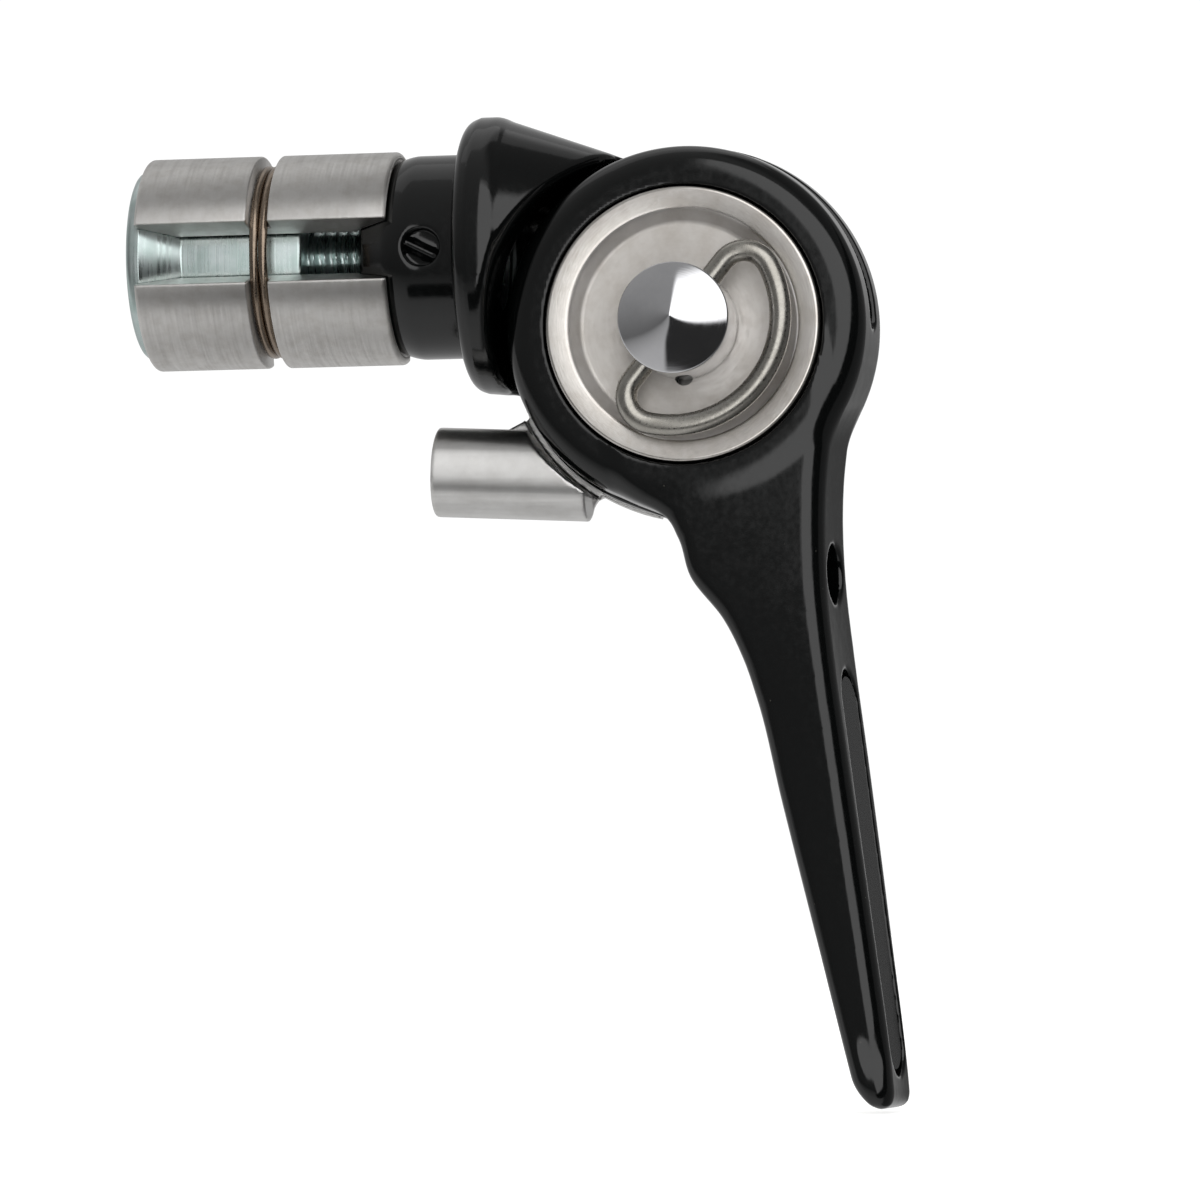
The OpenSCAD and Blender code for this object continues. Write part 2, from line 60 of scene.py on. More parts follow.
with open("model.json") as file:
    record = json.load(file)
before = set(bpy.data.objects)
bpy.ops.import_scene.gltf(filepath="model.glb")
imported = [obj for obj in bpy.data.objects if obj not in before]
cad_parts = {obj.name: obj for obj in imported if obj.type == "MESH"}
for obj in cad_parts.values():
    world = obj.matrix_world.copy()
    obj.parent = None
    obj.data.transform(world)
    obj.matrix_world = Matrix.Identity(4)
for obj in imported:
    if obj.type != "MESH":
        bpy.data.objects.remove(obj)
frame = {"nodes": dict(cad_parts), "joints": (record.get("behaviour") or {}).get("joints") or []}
CAD_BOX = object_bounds()


# ------------------------------------------------------------------ frame


def joint_point(name: str) -> Array:
    """The place of a joint in millimetres.

    Args:
        name: the joint's name in the record.

    Returns:
        Its point in the row frame.
    """
    joint = next(j for j in frame["joints"] if j["name"] == name)
    return np.array(joint["pos_m"], float) / MM


def node_span(node: str, axis: int) -> tuple[float, float]:
    """How far a CAD node reaches along one axis.

    Args:
        node: the node's name.
        axis: 0 for X, 1 for Y, 2 for Z.

    Returns:
        The lowest and highest value in millimetres.
    """
    low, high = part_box(node)
    return low[axis] / MM, high[axis] / MM


PIVOT = joint_point("lever_swing")


class Turn(Enum):
    """The two axes that turned parts are made round."""

    PLUG = "plug"
    PIVOT = "pivot"

    def place(self, radius: Array, along: Array, angle: Array) -> Array:
        """Puts cylinder coordinates in the row frame.

        Args:
            radius: distance from the axis.
            along: place along the axis, +X on the plug and +Y on the pivot.
            angle: angle in radians, from +Y to +Z on the plug and from +X to +Z on the pivot.

        Returns:
            Points in millimetres, with the coordinates last.
        """
        across, up = radius * np.cos(angle), radius * np.sin(angle)
        if self is Turn.PLUG:
            return np.stack([along + 0 * across, across, up], axis=-1)
        return np.stack([PIVOT[0] + across, along + 0 * across, PIVOT[2] + up], axis=-1)


# ------------------------------------------------------------------ meshes


def mesh_object(name: str, points: Array, faces: Sequence[Sequence[int]]) -> bpy.types.Object:
    """Makes a smooth-shaded mesh object.

    Args:
        name: the piece's name.
        points: vertices in millimetres.
        faces: vertex indices of each face.

    Returns:
        The object, linked to the scene.
    """
    mesh = bpy.data.meshes.new(name)
    mesh.from_pydata((np.asarray(points) * MM).tolist(), [], [list(map(int, f)) for f in faces])
    mesh.validate()
    mesh.polygons.foreach_set("use_smooth", [True] * len(mesh.polygons))
    mesh.update()
    piece = bpy.data.objects.new(name, mesh)
    bpy.context.scene.collection.objects.link(piece)
    return piece


def rounded(corners: Sequence[tuple[float, float, float]], closed: bool = False, steps: int = 5) -> Array:
    """Rounds the corners of an outline.

    Args:
        corners: points as (x, y, corner radius).
        closed: whether the last point joins the first.
        steps: points on each round corner, less one.

    Returns:
        The outline's points.
    """
    pts = np.array([c[:2] for c in corners], float)
    out: list[Array] = []
    count = len(pts)
    for i, (_, _, radius) in enumerate(corners):
        here = pts[i]
        if radius <= 0 or (not closed and i in (0, count - 1)):
            out.append(here)
            continue
        to_a, to_b = pts[i - 1] - here, pts[(i + 1) % count] - here
        len_a, len_b = np.linalg.norm(to_a), np.linalg.norm(to_b)
        to_a, to_b = to_a / len_a, to_b / len_b
        half = math.acos(float(np.clip(to_a @ to_b, -1, 1))) / 2
        reach = min(radius / math.tan(half), 0.48 * len_a, 0.48 * len_b)
        true_radius = reach * math.tan(half)
        middle = here + (to_a + to_b) / np.linalg.norm(to_a + to_b) * true_radius / math.sin(half)
        start, end = here + to_a * reach - middle, here + to_b * reach - middle
        sweep = math.atan2(start[0] * end[1] - start[1] * end[0], float(start @ end))
        for k in range(steps + 1):
            a = sweep * k / steps
            turn = np.array([[math.cos(a), -math.sin(a)], [math.sin(a), math.cos(a)]])
            out.append(middle + turn @ start)
    return np.array(out)


def lathe(
    name: str,
    axis: Turn,
    outline: Array,
    steps: int = 128,
    relief: Callable[[Array, Array, Array], Array] | None = None,
) -> bpy.types.Object:
    """Turns an outline right round an axis.

    Args:
        name: the piece's name.
        axis: the axis to turn round.
        outline: points (radius, along); an end on the axis closes the shape, and otherwise the ends join.
        steps: how many stretches go round.
        relief: changes the radius, from (radius, along, angle), for a thread.

    Returns:
        The new object.
    """
    on_axis = outline[0, 0] < 1e-6 and outline[-1, 0] < 1e-6
    ring = outline[1:-1] if on_axis else outline
    angle = np.arange(steps) / steps * 2 * math.pi
    radius, along = ring[:, :1] + 0 * angle, ring[:, 1:] + 0 * angle
    turn = 0 * radius + angle
    if relief is not None:
        radius = relief(radius, along, turn)
    points = axis.place(radius, along, turn).reshape(-1, 3)
    rows = len(ring)
    faces: list[list[int]] = []
    for i in range(rows if not on_axis else rows - 1):
        j = (i + 1) % rows
        for k in range(steps):
            n = (k + 1) % steps
            faces.append([i * steps + k, i * steps + n, j * steps + n, j * steps + k])
    if on_axis:
        ends = axis.place(np.zeros(2), outline[[0, -1], 1], np.zeros(2))
        points = np.concatenate([points, ends])
        first, last = len(points) - 2, len(points) - 1
        for k in range(steps):
            n = (k + 1) % steps
            faces.append([first, n, k])
            faces.append([last, (rows - 1) * steps + k, (rows - 1) * steps + n])
    piece = mesh_object(name, points, faces)
    face_outwards(piece)
    return piece


def face_outwards(piece: bpy.types.Object) -> None:
    """Turns every face of a closed mesh outwards.

    Args:
        piece: the mesh to turn.
    """
    work = bmesh.new()
    work.from_mesh(piece.data)
    bmesh.ops.recalc_face_normals(work, faces=work.faces)
    work.to_mesh(piece.data)
    work.free()


def sweep(name: str, path: Array, radius: Array, sides: int = 24) -> bpy.types.Object:
    """Sweeps round wire along a path, with closed ends.

    Args:
        name: the piece's name.
        path: points in millimetres.
        radius: the wire's radius at each point.
        sides: how many sides the wire has.

    Returns:
        The new object.
    """
    along = np.gradient(path, axis=0)
    along /= np.linalg.norm(along, axis=1, keepdims=True)
    up = np.cross(along[0], [0.0, 0.0, 1.0] if abs(along[0][2]) < 0.9 else [1.0, 0.0, 0.0])
    rows: list[Array] = []
    angle = np.arange(sides) / sides * 2 * math.pi
    for at, ahead, r in zip(path, along, radius):
        up = up - ahead * (up @ ahead)
        up /= np.linalg.norm(up)
        side = np.cross(ahead, up)
        rows.append(at + r * (np.cos(angle)[:, None] * up + np.sin(angle)[:, None] * side))
    faces: list[list[int]] = []
    for i in range(len(path) - 1):
        for k in range(sides):
            n = (k + 1) % sides
            faces.append([i * sides + k, i * sides + n, (i + 1) * sides + n, (i + 1) * sides + k])
    faces.append(list(range(sides))[::-1])
    faces.append([(len(path) - 1) * sides + k for k in range(sides)])
    piece = mesh_object(name, np.concatenate(rows), faces)
    face_outwards(piece)
    return piece


def rolled_thread(
    pitch: float, deep: float, start: float, stop: float, fade: tuple[float, float]
) -> Callable[[Array, Array, Array], Array]:
    """The helix of a 60 degree thread, as a relief for a lathe.

    Args:
        pitch: the thread's pitch.
        deep: its depth.
        start: where it starts along the axis.
        stop: where it ends.
        fade: the lengths over which it runs in and out.

    Returns:
        A function that cuts the thread into radii, from radius, place along the axis and angle.
    """

    def relief(radius: Array, along: Array, angle: Array) -> Array:
        """Cuts the helix, which runs in and out at its ends."""
        phase = (along / pitch - angle / (2 * math.pi)) % 1
        depth = np.clip(1.25 - np.abs(phase - 0.5) * 2.5, 0, 1) * deep
        return radius - depth * np.clip((along - start) / fade[0], 0, 1) * np.clip((stop - along) / fade[1], 0, 1)

    return relief


def prism(name: str, low: Array, high: Array) -> bpy.types.Object:
    """A closed prism between two matching outlines.

    Args:
        name: the prism's name.
        low: the corners at one end.
        high: the corners at the other end, in the same order.

    Returns:
        The new object.
    """
    count = len(low)
    faces = [list(range(count)), list(range(count, 2 * count))[::-1]]
    faces += [[i, (i + 1) % count, count + (i + 1) % count, count + i] for i in range(count)]
    piece = mesh_object(name, np.concatenate([low, high]), faces)
    face_outwards(piece)
    return piece


def join(name: str, parts: Sequence[bpy.types.Object]) -> bpy.types.Object:
    """Joins separate meshes into one object.

    Args:
        name: the new piece's name.
        parts: the objects to join, which are removed.

    Returns:
        The new object.
    """
    work = bmesh.new()
    for part in parts:
        work.from_mesh(part.data)
        bpy.data.objects.remove(part)
    mesh = bpy.data.meshes.new(name)
    work.to_mesh(mesh)
    work.free()
    piece = bpy.data.objects.new(name, mesh)
    bpy.context.scene.collection.objects.link(piece)
    return piece


def cut(piece: bpy.types.Object, cutter: bpy.types.Object, sharp_deg: float = 35.0) -> None:
    """Cuts one closed mesh out of another and removes the cutter.

    Args:
        piece: the mesh that is cut.
        cutter: the mesh to take away.
        sharp_deg: edges steeper than this stay sharp in the shading.
    """
    boolean = piece.modifiers.new("cut", "BOOLEAN")
    boolean.operation, boolean.solver, boolean.object = "DIFFERENCE", "EXACT", cutter
    bpy.context.view_layer.update()
    shape = piece.evaluated_get(bpy.context.evaluated_depsgraph_get())
    mesh = bpy.data.meshes.new_from_object(shape)
    piece.modifiers.clear()
    piece.data = mesh
    mesh.polygons.foreach_set("use_smooth", [True] * len(mesh.polygons))
    mesh.set_sharp_from_angle(angle=math.radians(sharp_deg))
    bpy.data.objects.remove(cutter)


# ------------------------------------------------------------------ fields


def round_and(a: Array, b: Array, radius: float) -> Array:
    """What two fields share, with a round outer edge of that radius."""
    reach = np.hypot(np.maximum(a + radius, 0), np.maximum(b + radius, 0))
    return np.minimum(-radius, np.maximum(a, b)) + reach


def round_or(a: Array, b: Array, radius: float) -> Array:
    """Two fields together, with a fillet of that radius between them."""
    reach = np.hypot(np.maximum(radius - a, 0), np.maximum(radius - b, 0))
    return np.maximum(radius, np.minimum(a, b)) - reach


def round_less(a: Array, b: Array, radius: float) -> Array:
    """One field less another, with a round edge of that radius."""
    return round_and(a, -b, radius)


def smooth_curve(points: Sequence[tuple[float, float]], samples: int = 400) -> tuple[Array, Array]:
    """A smooth curve through points given as (place, value), in order of place.

    Args:
        points: the points that the curve passes through.
        samples: how many places the curve is sampled at.

    Returns:
        The places and the values, for np.interp.
    """
    at, value = np.array(sorted(points), float).T
    slope = np.gradient(value, at)
    x = np.linspace(at[0], at[-1], samples)
    i = np.clip(np.searchsorted(at, x) - 1, 0, len(at) - 2)
    h = at[i + 1] - at[i]
    t = (x - at[i]) / h
    y = (
        (2 * t**3 - 3 * t**2 + 1) * value[i]
        + (t**3 - 2 * t**2 + t) * h * slope[i]
        + (3 * t**2 - 2 * t**3) * value[i + 1]
        + (t**3 - t**2) * h * slope[i + 1]
    )
    return x, y


class Field:
    """A solid given by its signed distance, which can be meshed.

    Subclasses give `distance` and the box that holds the solid.
    """

    low: tuple[float, float, float]
    high: tuple[float, float, float]
    cell: float = 0.22

    def distance(self, x: Array, y: Array, z: Array) -> Array:
        """The signed distance in millimetres, below zero inside."""
        raise NotImplementedError

    def mesh(self, name: str) -> bpy.types.Object:
        """Meshes the solid's surface as quads.

        Args:
            name: the piece's name.

        Returns:
            The new object.
        """
        grid = [np.arange(a, b + self.cell, self.cell) for a, b in zip(self.low, self.high)]
        x, y, z = np.meshgrid(*grid, indexing="ij")
        value = self.distance(x, y, z).astype(np.float32)
        points, faces = surface_nets(value, np.array(self.low), self.cell)
        for _ in range(4):
            points = self.settle(points)
        return mesh_object(name, points, faces)

    def settle(self, points: Array) -> Array:
        """Moves points onto the surface by one Newton step.

        Args:
            points: the points to move.

        Returns:
            The moved points.
        """
        step = 0.02
        here = self.distance(*points.T)
        slope = np.stack(
            [
                (self.distance(*(points + shift).T) - self.distance(*(points - shift).T)) / (2 * step)
                for shift in np.eye(3) * step
            ],
            axis=1,
        )
        size = np.maximum((slope**2).sum(axis=1), 0.05)
        move = np.clip(here / size, -0.6 * self.cell, 0.6 * self.cell)
        return points - slope * move[:, None]


def surface_nets(value: Array, low: Array, cell: float) -> tuple[Array, Array]:
    """Meshes the zero level of a sampled field with one vertex per crossed cell.

    Args:
        value: the field's samples on a regular grid.
        low: the grid's lowest corner.
        cell: the grid's spacing.

    Returns:
        The vertices and the quads.
    """
    inside = value < 0
    size = np.array(value.shape) - 1
    total = np.zeros((*size, 3), np.float32)
    hits = np.zeros(size, np.float32)
    corners = [(i, j, k) for i in (0, 1) for j in (0, 1) for k in (0, 1)]

    def window(c: Sequence[int], a: Array) -> Array:
        """The grid shifted to one corner of every cell."""
        return a[c[0] : c[0] + size[0], c[1] : c[1] + size[1], c[2] : c[2] + size[2]]

    for c in corners:
        for axis in range(3):
            if c[axis]:
                continue
            other = tuple(v + (1 if n == axis else 0) for n, v in enumerate(c))
            crossed = window(c, inside) != window(other, inside)
            va, vb = window(c, value), window(other, value)
            t = np.where(crossed, va / np.where(crossed, va - vb, 1), 0)
            for n in range(3):
                total[..., n] += crossed * (c[n] + (t if n == axis else 0))
            hits += crossed
    active = hits > 0
    number = np.full(size, -1, np.int64)
    number[active] = np.arange(int(active.sum()))
    base = np.argwhere(active)
    points = low + (base + total[active] / hits[active][:, None]) * cell
    faces: list[Array] = []
    for axis in range(3):
        u, v = (axis + 1) % 3, (axis + 2) % 3
        first = [slice(None)] * 3
        second = [slice(None)] * 3
        first[axis], second[axis] = slice(0, -1), slice(1, None)
        a, b = inside[tuple(first)], inside[tuple(second)]
        at = np.argwhere(a != b)
        flip = a[tuple(at.T)]
        ok = (at[:, u] > 0) & (at[:, v] > 0) & (at[:, u] < size[u]) & (at[:, v] < size[v])
        at, flip = at[ok], flip[ok]
        ring = []
        for du, dv in ((1, 1), (0, 1), (0, 0), (1, 0)):
            spot = at.copy()
            spot[:, u] -= du
            spot[:, v] -= dv
            ring.append(number[tuple(spot.T)])
        quad = np.stack(ring, axis=1)
        quad[~flip] = quad[~flip][:, ::-1]
        faces.append(quad)
    return points, np.concatenate(faces)


# ------------------------------------------------------------------ finishes


def linear(code: str) -> tuple[float, float, float, float]:
    """Turns an sRGB hex colour to linear.

    Args:
        code: the colour, such as "#a0b1c2".

    Returns:
        Linear red, green, blue and an alpha of 1.
    """
    values = [int(code[i : i + 2], 16) / 255 for i in (1, 3, 5)]
    red, green, blue = (v / 12.92 if v <= 0.04045 else ((v + 0.055) / 1.055) ** 2.4 for v in values)
    return red, green, blue, 1.0


def add(
    tree: bpy.types.NodeTree,
    kind: str,
    inputs: dict[str | int, object] | None = None,
    **settings: object,
) -> bpy.types.Node:
    """Adds a node with its settings, values and links.

    Args:
        tree: the node tree.
        kind: the node's type.
        inputs: values, or sockets to link, by input name or number.
        **settings: the node's own settings.

    Returns:
        The new node.
    """
    new = tree.nodes.new(kind)
    for key, value in settings.items():
        setattr(new, key, value)
    for key, value in (inputs or {}).items():
        if isinstance(value, Socket):
            tree.links.new(value, new.inputs[key])
        else:
            new.inputs[key].default_value = value
    return new


class Grain(Enum):
    """The way in which the marks on a surface run."""

    TURNED_ON_PLUG = "rings round the plug's axis"
    TURNED_ON_PIVOT = "rings round the pivot"
    DRAWN = "lines along the barrel"
    EVEN = "no direction"


@dataclass(frozen=True)
class Finish:
    """A finish with a base colour, a second colour in patches, and marks that run one way.

    Attributes:
        name: the material's name.
        slot: the record's material slot; not used.
        colour: the base colour.
        patch_colour: the colour of the patches.
        patch_mm: how wide the patches are.
        patch_amount: how strongly the patches show, from 0 to 1.
        metallic: 1 for bare metal.
        roughness: the roughness between the marks.
        rough_spread: how much the roughness varies.
        grain: how the marks run.
        mark_mm: the distance between marks.
        mark_depth_mm: the depth of the marks.
        stretch: how much longer a mark is than it is wide.
        anisotropy: how far the highlight is drawn out across the marks.
        glow: light given off, for the studio's card only.
    """

    name: str
    slot: str
    colour: str
    patch_colour: str
    patch_mm: float = 1.5
    patch_amount: float = 0.5
    metallic: float = 1.0
    roughness: float = 0.3
    rough_spread: float = 0.08
    grain: Grain = Grain.EVEN
    mark_mm: float = 0.3
    mark_depth_mm: float = 0.004
    stretch: float = 30.0
    anisotropy: float = 0.0
    glow: float = 0.0

    def material(self) -> bpy.types.Material:
        """Makes the finish's material, once, and returns it."""
        if self.name in bpy.data.materials:
            return bpy.data.materials[self.name]
        made = bpy.data.materials.new(self.name)
        made.use_nodes = True
        tree = made.node_tree
        tree.nodes.clear()
        place_m = add(tree, "ShaderNodeTexCoord").outputs["Object"]
        place = add(tree, "ShaderNodeVectorMath", {0: place_m, "Scale": 1 / MM}, operation="SCALE").outputs[0]
        surface = add(
            tree,
            "ShaderNodeBsdfPrincipled",
            {
                "Base Color": self.paint(tree, place),
                "Roughness": self.sheen(tree, place),
                "Normal": self.relief(tree, place),
                "Metallic": self.metallic,
                "Anisotropic": self.anisotropy,
            },
        )
        if self.anisotropy > 0:
            tree.links.new(self.tangent(tree, place), surface.inputs["Tangent"])
        self.coat(surface)
        add(tree, "ShaderNodeOutputMaterial", {"Surface": surface.outputs[0]})
        return made

    def coat(self, surface: bpy.types.Node) -> None:
        """Sets anything else on the shader itself."""
        surface.inputs["Emission Color"].default_value = linear(self.colour)
        surface.inputs["Emission Strength"].default_value = self.glow

    def tangent(self, tree: bpy.types.NodeTree, place: Socket) -> Socket:
        """The direction in which the highlight is drawn out, which is across the marks.

        Args:
            tree: the material's node tree.
            place: the point in millimetres.

        Returns:
            A direction in the world.
        """
        if self.grain is Grain.TURNED_ON_PIVOT:
            along = add(tree, "ShaderNodeVectorMath", {0: place, 1: tuple(PIVOT)}, operation="SUBTRACT").outputs[0]
        else:
            along = add(tree, "ShaderNodeCombineXYZ", {0: 1.0, 1: 0.03, 2: 0.04}).outputs[0]
        world = add(
            tree, "ShaderNodeVectorTransform", {0: along}, vector_type="VECTOR", convert_from="OBJECT",
            convert_to="WORLD",
        )
        return add(tree, "ShaderNodeVectorMath", {0: world.outputs[0]}, operation="NORMALIZE").outputs[0]

    def run(self, tree: bpy.types.NodeTree, place: Socket) -> Socket:
        """Coordinates in which the marks are one unit apart and drawn out along the grain.

        Args:
            tree: the material's node tree.
            place: the point in millimetres.

        Returns:
            The coordinates.
        """
        fine, long = 1 / self.mark_mm, 1 / (self.mark_mm * self.stretch)
        if self.grain is Grain.TURNED_ON_PIVOT:
            shift = (-PIVOT[0], 0.0, -PIVOT[2])
            moved = add(tree, "ShaderNodeVectorMath", {0: place, 1: shift}, operation="ADD").outputs[0]
            flat = add(tree, "ShaderNodeVectorMath", {0: moved, 1: (1.0, 0.0, 1.0)}, operation="MULTIPLY")
            radius = add(tree, "ShaderNodeVectorMath", {0: flat.outputs[0]}, operation="LENGTH").outputs["Value"]
            parts = add(tree, "ShaderNodeSeparateXYZ", {0: moved}).outputs
            rings = add(tree, "ShaderNodeMath", {0: radius, 1: parts[1]}, operation="ADD").outputs[0]
            across = add(tree, "ShaderNodeMath", {0: rings, 1: fine}, operation="MULTIPLY").outputs[0]
            one = add(tree, "ShaderNodeMath", {0: parts[0], 1: long}, operation="MULTIPLY").outputs[0]
            other = add(tree, "ShaderNodeMath", {0: parts[2], 1: long}, operation="MULTIPLY").outputs[0]
            return add(tree, "ShaderNodeCombineXYZ", {0: across, 1: one, 2: other}).outputs[0]
        scale = {
            Grain.TURNED_ON_PLUG: (fine, long, long),
            Grain.DRAWN: (long, fine, fine),
            Grain.EVEN: (fine, fine, fine),
        }[self.grain]
        return add(tree, "ShaderNodeVectorMath", {0: place, 1: scale}, operation="MULTIPLY").outputs[0]

    def paint(self, tree: bpy.types.NodeTree, place: Socket) -> Socket:
        """The colour, with its patches.

        Args:
            tree: the material's node tree.
            place: the point in millimetres.

        Returns:
            The colour.
        """
        cloud = add(
            tree,
            "ShaderNodeTexNoise",
            {"Vector": place, "Scale": 1 / self.patch_mm, "Detail": 6.0, "Roughness": 0.6},
        )
        amount = add(
            tree,
            "ShaderNodeMapRange",
            {0: cloud.outputs[0], 1: 0.42, 2: 0.68, 3: 0.0, 4: self.patch_amount},
        )
        return add(
            tree,
            "ShaderNodeMix",
            {0: amount.outputs[0], 6: linear(self.colour), 7: linear(self.patch_colour)},
            data_type="RGBA",
        ).outputs[2]

    def sheen(self, tree: bpy.types.NodeTree, place: Socket) -> Socket:
        """The roughness, which varies along the marks.

        Args:
            tree: the material's node tree.
            place: the point in millimetres.

        Returns:
            The roughness.
        """
        marks = add(tree, "ShaderNodeTexNoise", {"Vector": self.run(tree, place), "Scale": 0.7, "Detail": 4.0})
        low, high = self.roughness - self.rough_spread, self.roughness + self.rough_spread
        return add(tree, "ShaderNodeMapRange", {0: marks.outputs[0], 1: 0.3, 2: 0.7, 3: low, 4: high}).outputs[0]

    def relief(self, tree: bpy.types.NodeTree, place: Socket) -> Socket:
        """The marks themselves, as bumps.

        Args:
            tree: the material's node tree.
            place: the point in millimetres.

        Returns:
            The bumped normal.
        """
        marks = add(tree, "ShaderNodeTexNoise", {"Vector": self.run(tree, place), "Scale": 1.0, "Detail": 3.0})
        return add(
            tree,
            "ShaderNodeBump",
            {"Height": marks.outputs[0], "Strength": 1.0, "Distance": self.mark_depth_mm * MM},
        ).outputs[0]


@dataclass(frozen=True)
class Enamel(Finish):
    """Sprayed gloss enamel: a deep black with a slow orange peel and a few specks of dust.

    Attributes:
        peel_mm: the width of the orange peel.
        peel_depth_mm: its depth.
        speck_mm: the distance between specks.
    """

    peel_mm: float = 2.2
    peel_depth_mm: float = 0.012
    speck_mm: float = 2.6

    def paint(self, tree: bpy.types.NodeTree, place: Socket) -> Socket:
        """Black with sparse pale dust specks.

        Args:
            tree: the material's node tree.
            place: the point in millimetres.

        Returns:
            The colour.
        """
        cells = add(
            tree, "ShaderNodeTexVoronoi", {"Vector": place, "Scale": 1 / self.speck_mm, "Randomness": 1.0}
        ).outputs["Distance"]
        speck = add(tree, "ShaderNodeMapRange", {0: cells, 1: 0.014, 2: 0.03, 3: 0.5, 4: 0.0}).outputs[0]
        return add(
            tree,
            "ShaderNodeMix",
            {0: speck, 6: linear(self.colour), 7: linear(self.patch_colour)},
            data_type="RGBA",
        ).outputs[2]

    def relief(self, tree: bpy.types.NodeTree, place: Socket) -> Socket:
        """Slow orange peel under a finer grain.

        Args:
            tree: the material's node tree.
            place: the point in millimetres.

        Returns:
            The bumped normal.
        """
        peel = add(tree, "ShaderNodeTexNoise", {"Vector": place, "Scale": 1 / self.peel_mm, "Detail": 2.0})
        wide = add(
            tree,
            "ShaderNodeBump",
            {"Height": peel.outputs[0], "Strength": 1.0, "Distance": self.peel_depth_mm * MM},
        ).outputs[0]
        fine = add(tree, "ShaderNodeTexNoise", {"Vector": place, "Scale": 1 / self.mark_mm, "Detail": 3.0})
        return add(
            tree,
            "ShaderNodeBump",
            {"Height": fine.outputs[0], "Strength": 1.0, "Distance": self.mark_depth_mm * MM, "Normal": wide},
        ).outputs[0]


@dataclass(frozen=True)
class RolledRim(Finish):
    """A pressed cap whose rim is rolled smoother than its middle.

    Attributes:
        rim_mm: the radius from which the rim is smoother.
        rim_roughness: the rim's roughness.
    """

    rim_mm: float = 9.5
    rim_roughness: float = 0.27

    def sheen(self, tree: bpy.types.NodeTree, place: Socket) -> Socket:
        """The middle's roughness, and the rim's beyond its radius.

        Args:
            tree: the material's node tree.
            place: the point in millimetres.

        Returns:
            The roughness.
        """
        spoke = add(tree, "ShaderNodeVectorMath", {0: place, 1: tuple(PIVOT)}, operation="SUBTRACT").outputs[0]
        flat = add(tree, "ShaderNodeVectorMath", {0: spoke, 1: (1.0, 0.0, 1.0)}, operation="MULTIPLY").outputs[0]
        radius = add(tree, "ShaderNodeVectorMath", {0: flat}, operation="LENGTH").outputs["Value"]
        share = add(
            tree, "ShaderNodeMapRange", {0: radius, 1: self.rim_mm, 2: self.rim_mm + 0.4, 3: 0.0, 4: 1.0}
        ).outputs[0]
        middle = super().sheen(tree, place)
        return add(tree, "ShaderNodeMix", {0: share, 2: middle, 3: self.rim_roughness}, data_type="FLOAT").outputs[0]


# Gloss enamel sprayed on a forging: nearly black, with clear soft-edged reflections.
BLACK_ENAMEL = Enamel(
    "black_enamel_sprayed", "black_enamel", "#040505", "#55524c", metallic=0.0, roughness=0.11, rough_spread=0.04,
    mark_mm=0.35, mark_depth_mm=0.0012,
)
# Aluminium as it leaves the lathe: pale grey, satin, with turned rings and dull stains.
TURNED_ALUMINIUM = Finish(
    "aluminium_turned", "raw_aluminium", "#e2e0dd", "#c9c5bf", patch_mm=1.1, patch_amount=0.45, roughness=0.46,
    rough_spread=0.06, grain=Grain.TURNED_ON_PLUG, mark_mm=0.16, mark_depth_mm=0.0016, anisotropy=0.9,
)
# Steel plated with zinc and passivated blue: a cool grey with green and straw tints.
ZINC_STEEL = Finish(
    "steel_zinc_plated", "zinc_steel", "#c8d3d2", "#adc0bb", patch_mm=2.0, patch_amount=0.7, roughness=0.28,
    grain=Grain.TURNED_ON_PLUG, mark_mm=0.22, mark_depth_mm=0.003, anisotropy=0.3,
)
# Hard drawn spring wire with a bronze tint.
SPRING_WIRE = Finish(
    "spring_wire_drawn", "spring_wire", "#968778", "#6b6056", patch_mm=1.2, patch_amount=0.5, roughness=0.25,
    mark_mm=0.15, mark_depth_mm=0.001,
)
# Aluminium polished after turning: bright streaks along the barrel, and hairline scratches.
POLISHED_ALUMINIUM = Finish(
    "aluminium_polished", "polished_aluminium", "#efeeec", "#d6d4d1", patch_mm=2.5, patch_amount=0.5,
    roughness=0.42, rough_spread=0.04, grain=Grain.DRAWN, mark_mm=0.12, mark_depth_mm=0.0009, stretch=60.0,
    anisotropy=0.9,
)
# Stainless sheet, pressed and then frosted with fine bead blast: soft, with a sparkle.
FROSTED_STAINLESS = RolledRim(
    "stainless_frosted", "stainless_cap", "#d8d4cf", "#b0a79c", patch_mm=2.2, patch_amount=0.35, roughness=0.5,
    rough_spread=0.06, grain=Grain.TURNED_ON_PIVOT, mark_mm=0.16, mark_depth_mm=0.004, stretch=5.0, anisotropy=0.3,
)
# Steel, ground to a cone and chromed: a clean mirror with faint rings.
CHROMED_STEEL = Finish(
    "steel_chromed", "chromed_steel", "#d6d6d8", "#c3c3c6", patch_mm=3.0, patch_amount=0.4, roughness=0.07,
    rough_spread=0.03, grain=Grain.TURNED_ON_PIVOT, mark_mm=0.15, mark_depth_mm=0.0008,
)
# Stainless wire, drawn and tumbled: satin with a soft bright centre line.
STAINLESS_WIRE = Finish(
    "stainless_wire_tumbled", "stainless_wire", "#aeaba4", "#948f87", patch_mm=1.5, patch_amount=0.4,
    roughness=0.3, mark_mm=0.2, mark_depth_mm=0.0015,
)
# Anodised aluminium plate, brushed lengthwise: satin black.
ANODISED_PLATE = Finish(
    "aluminium_plate_anodised", "inlay_plate", "#1c1e1f", "#161818", patch_mm=3.0, patch_amount=0.4,
    roughness=0.24, mark_mm=0.15, mark_depth_mm=0.001,
)
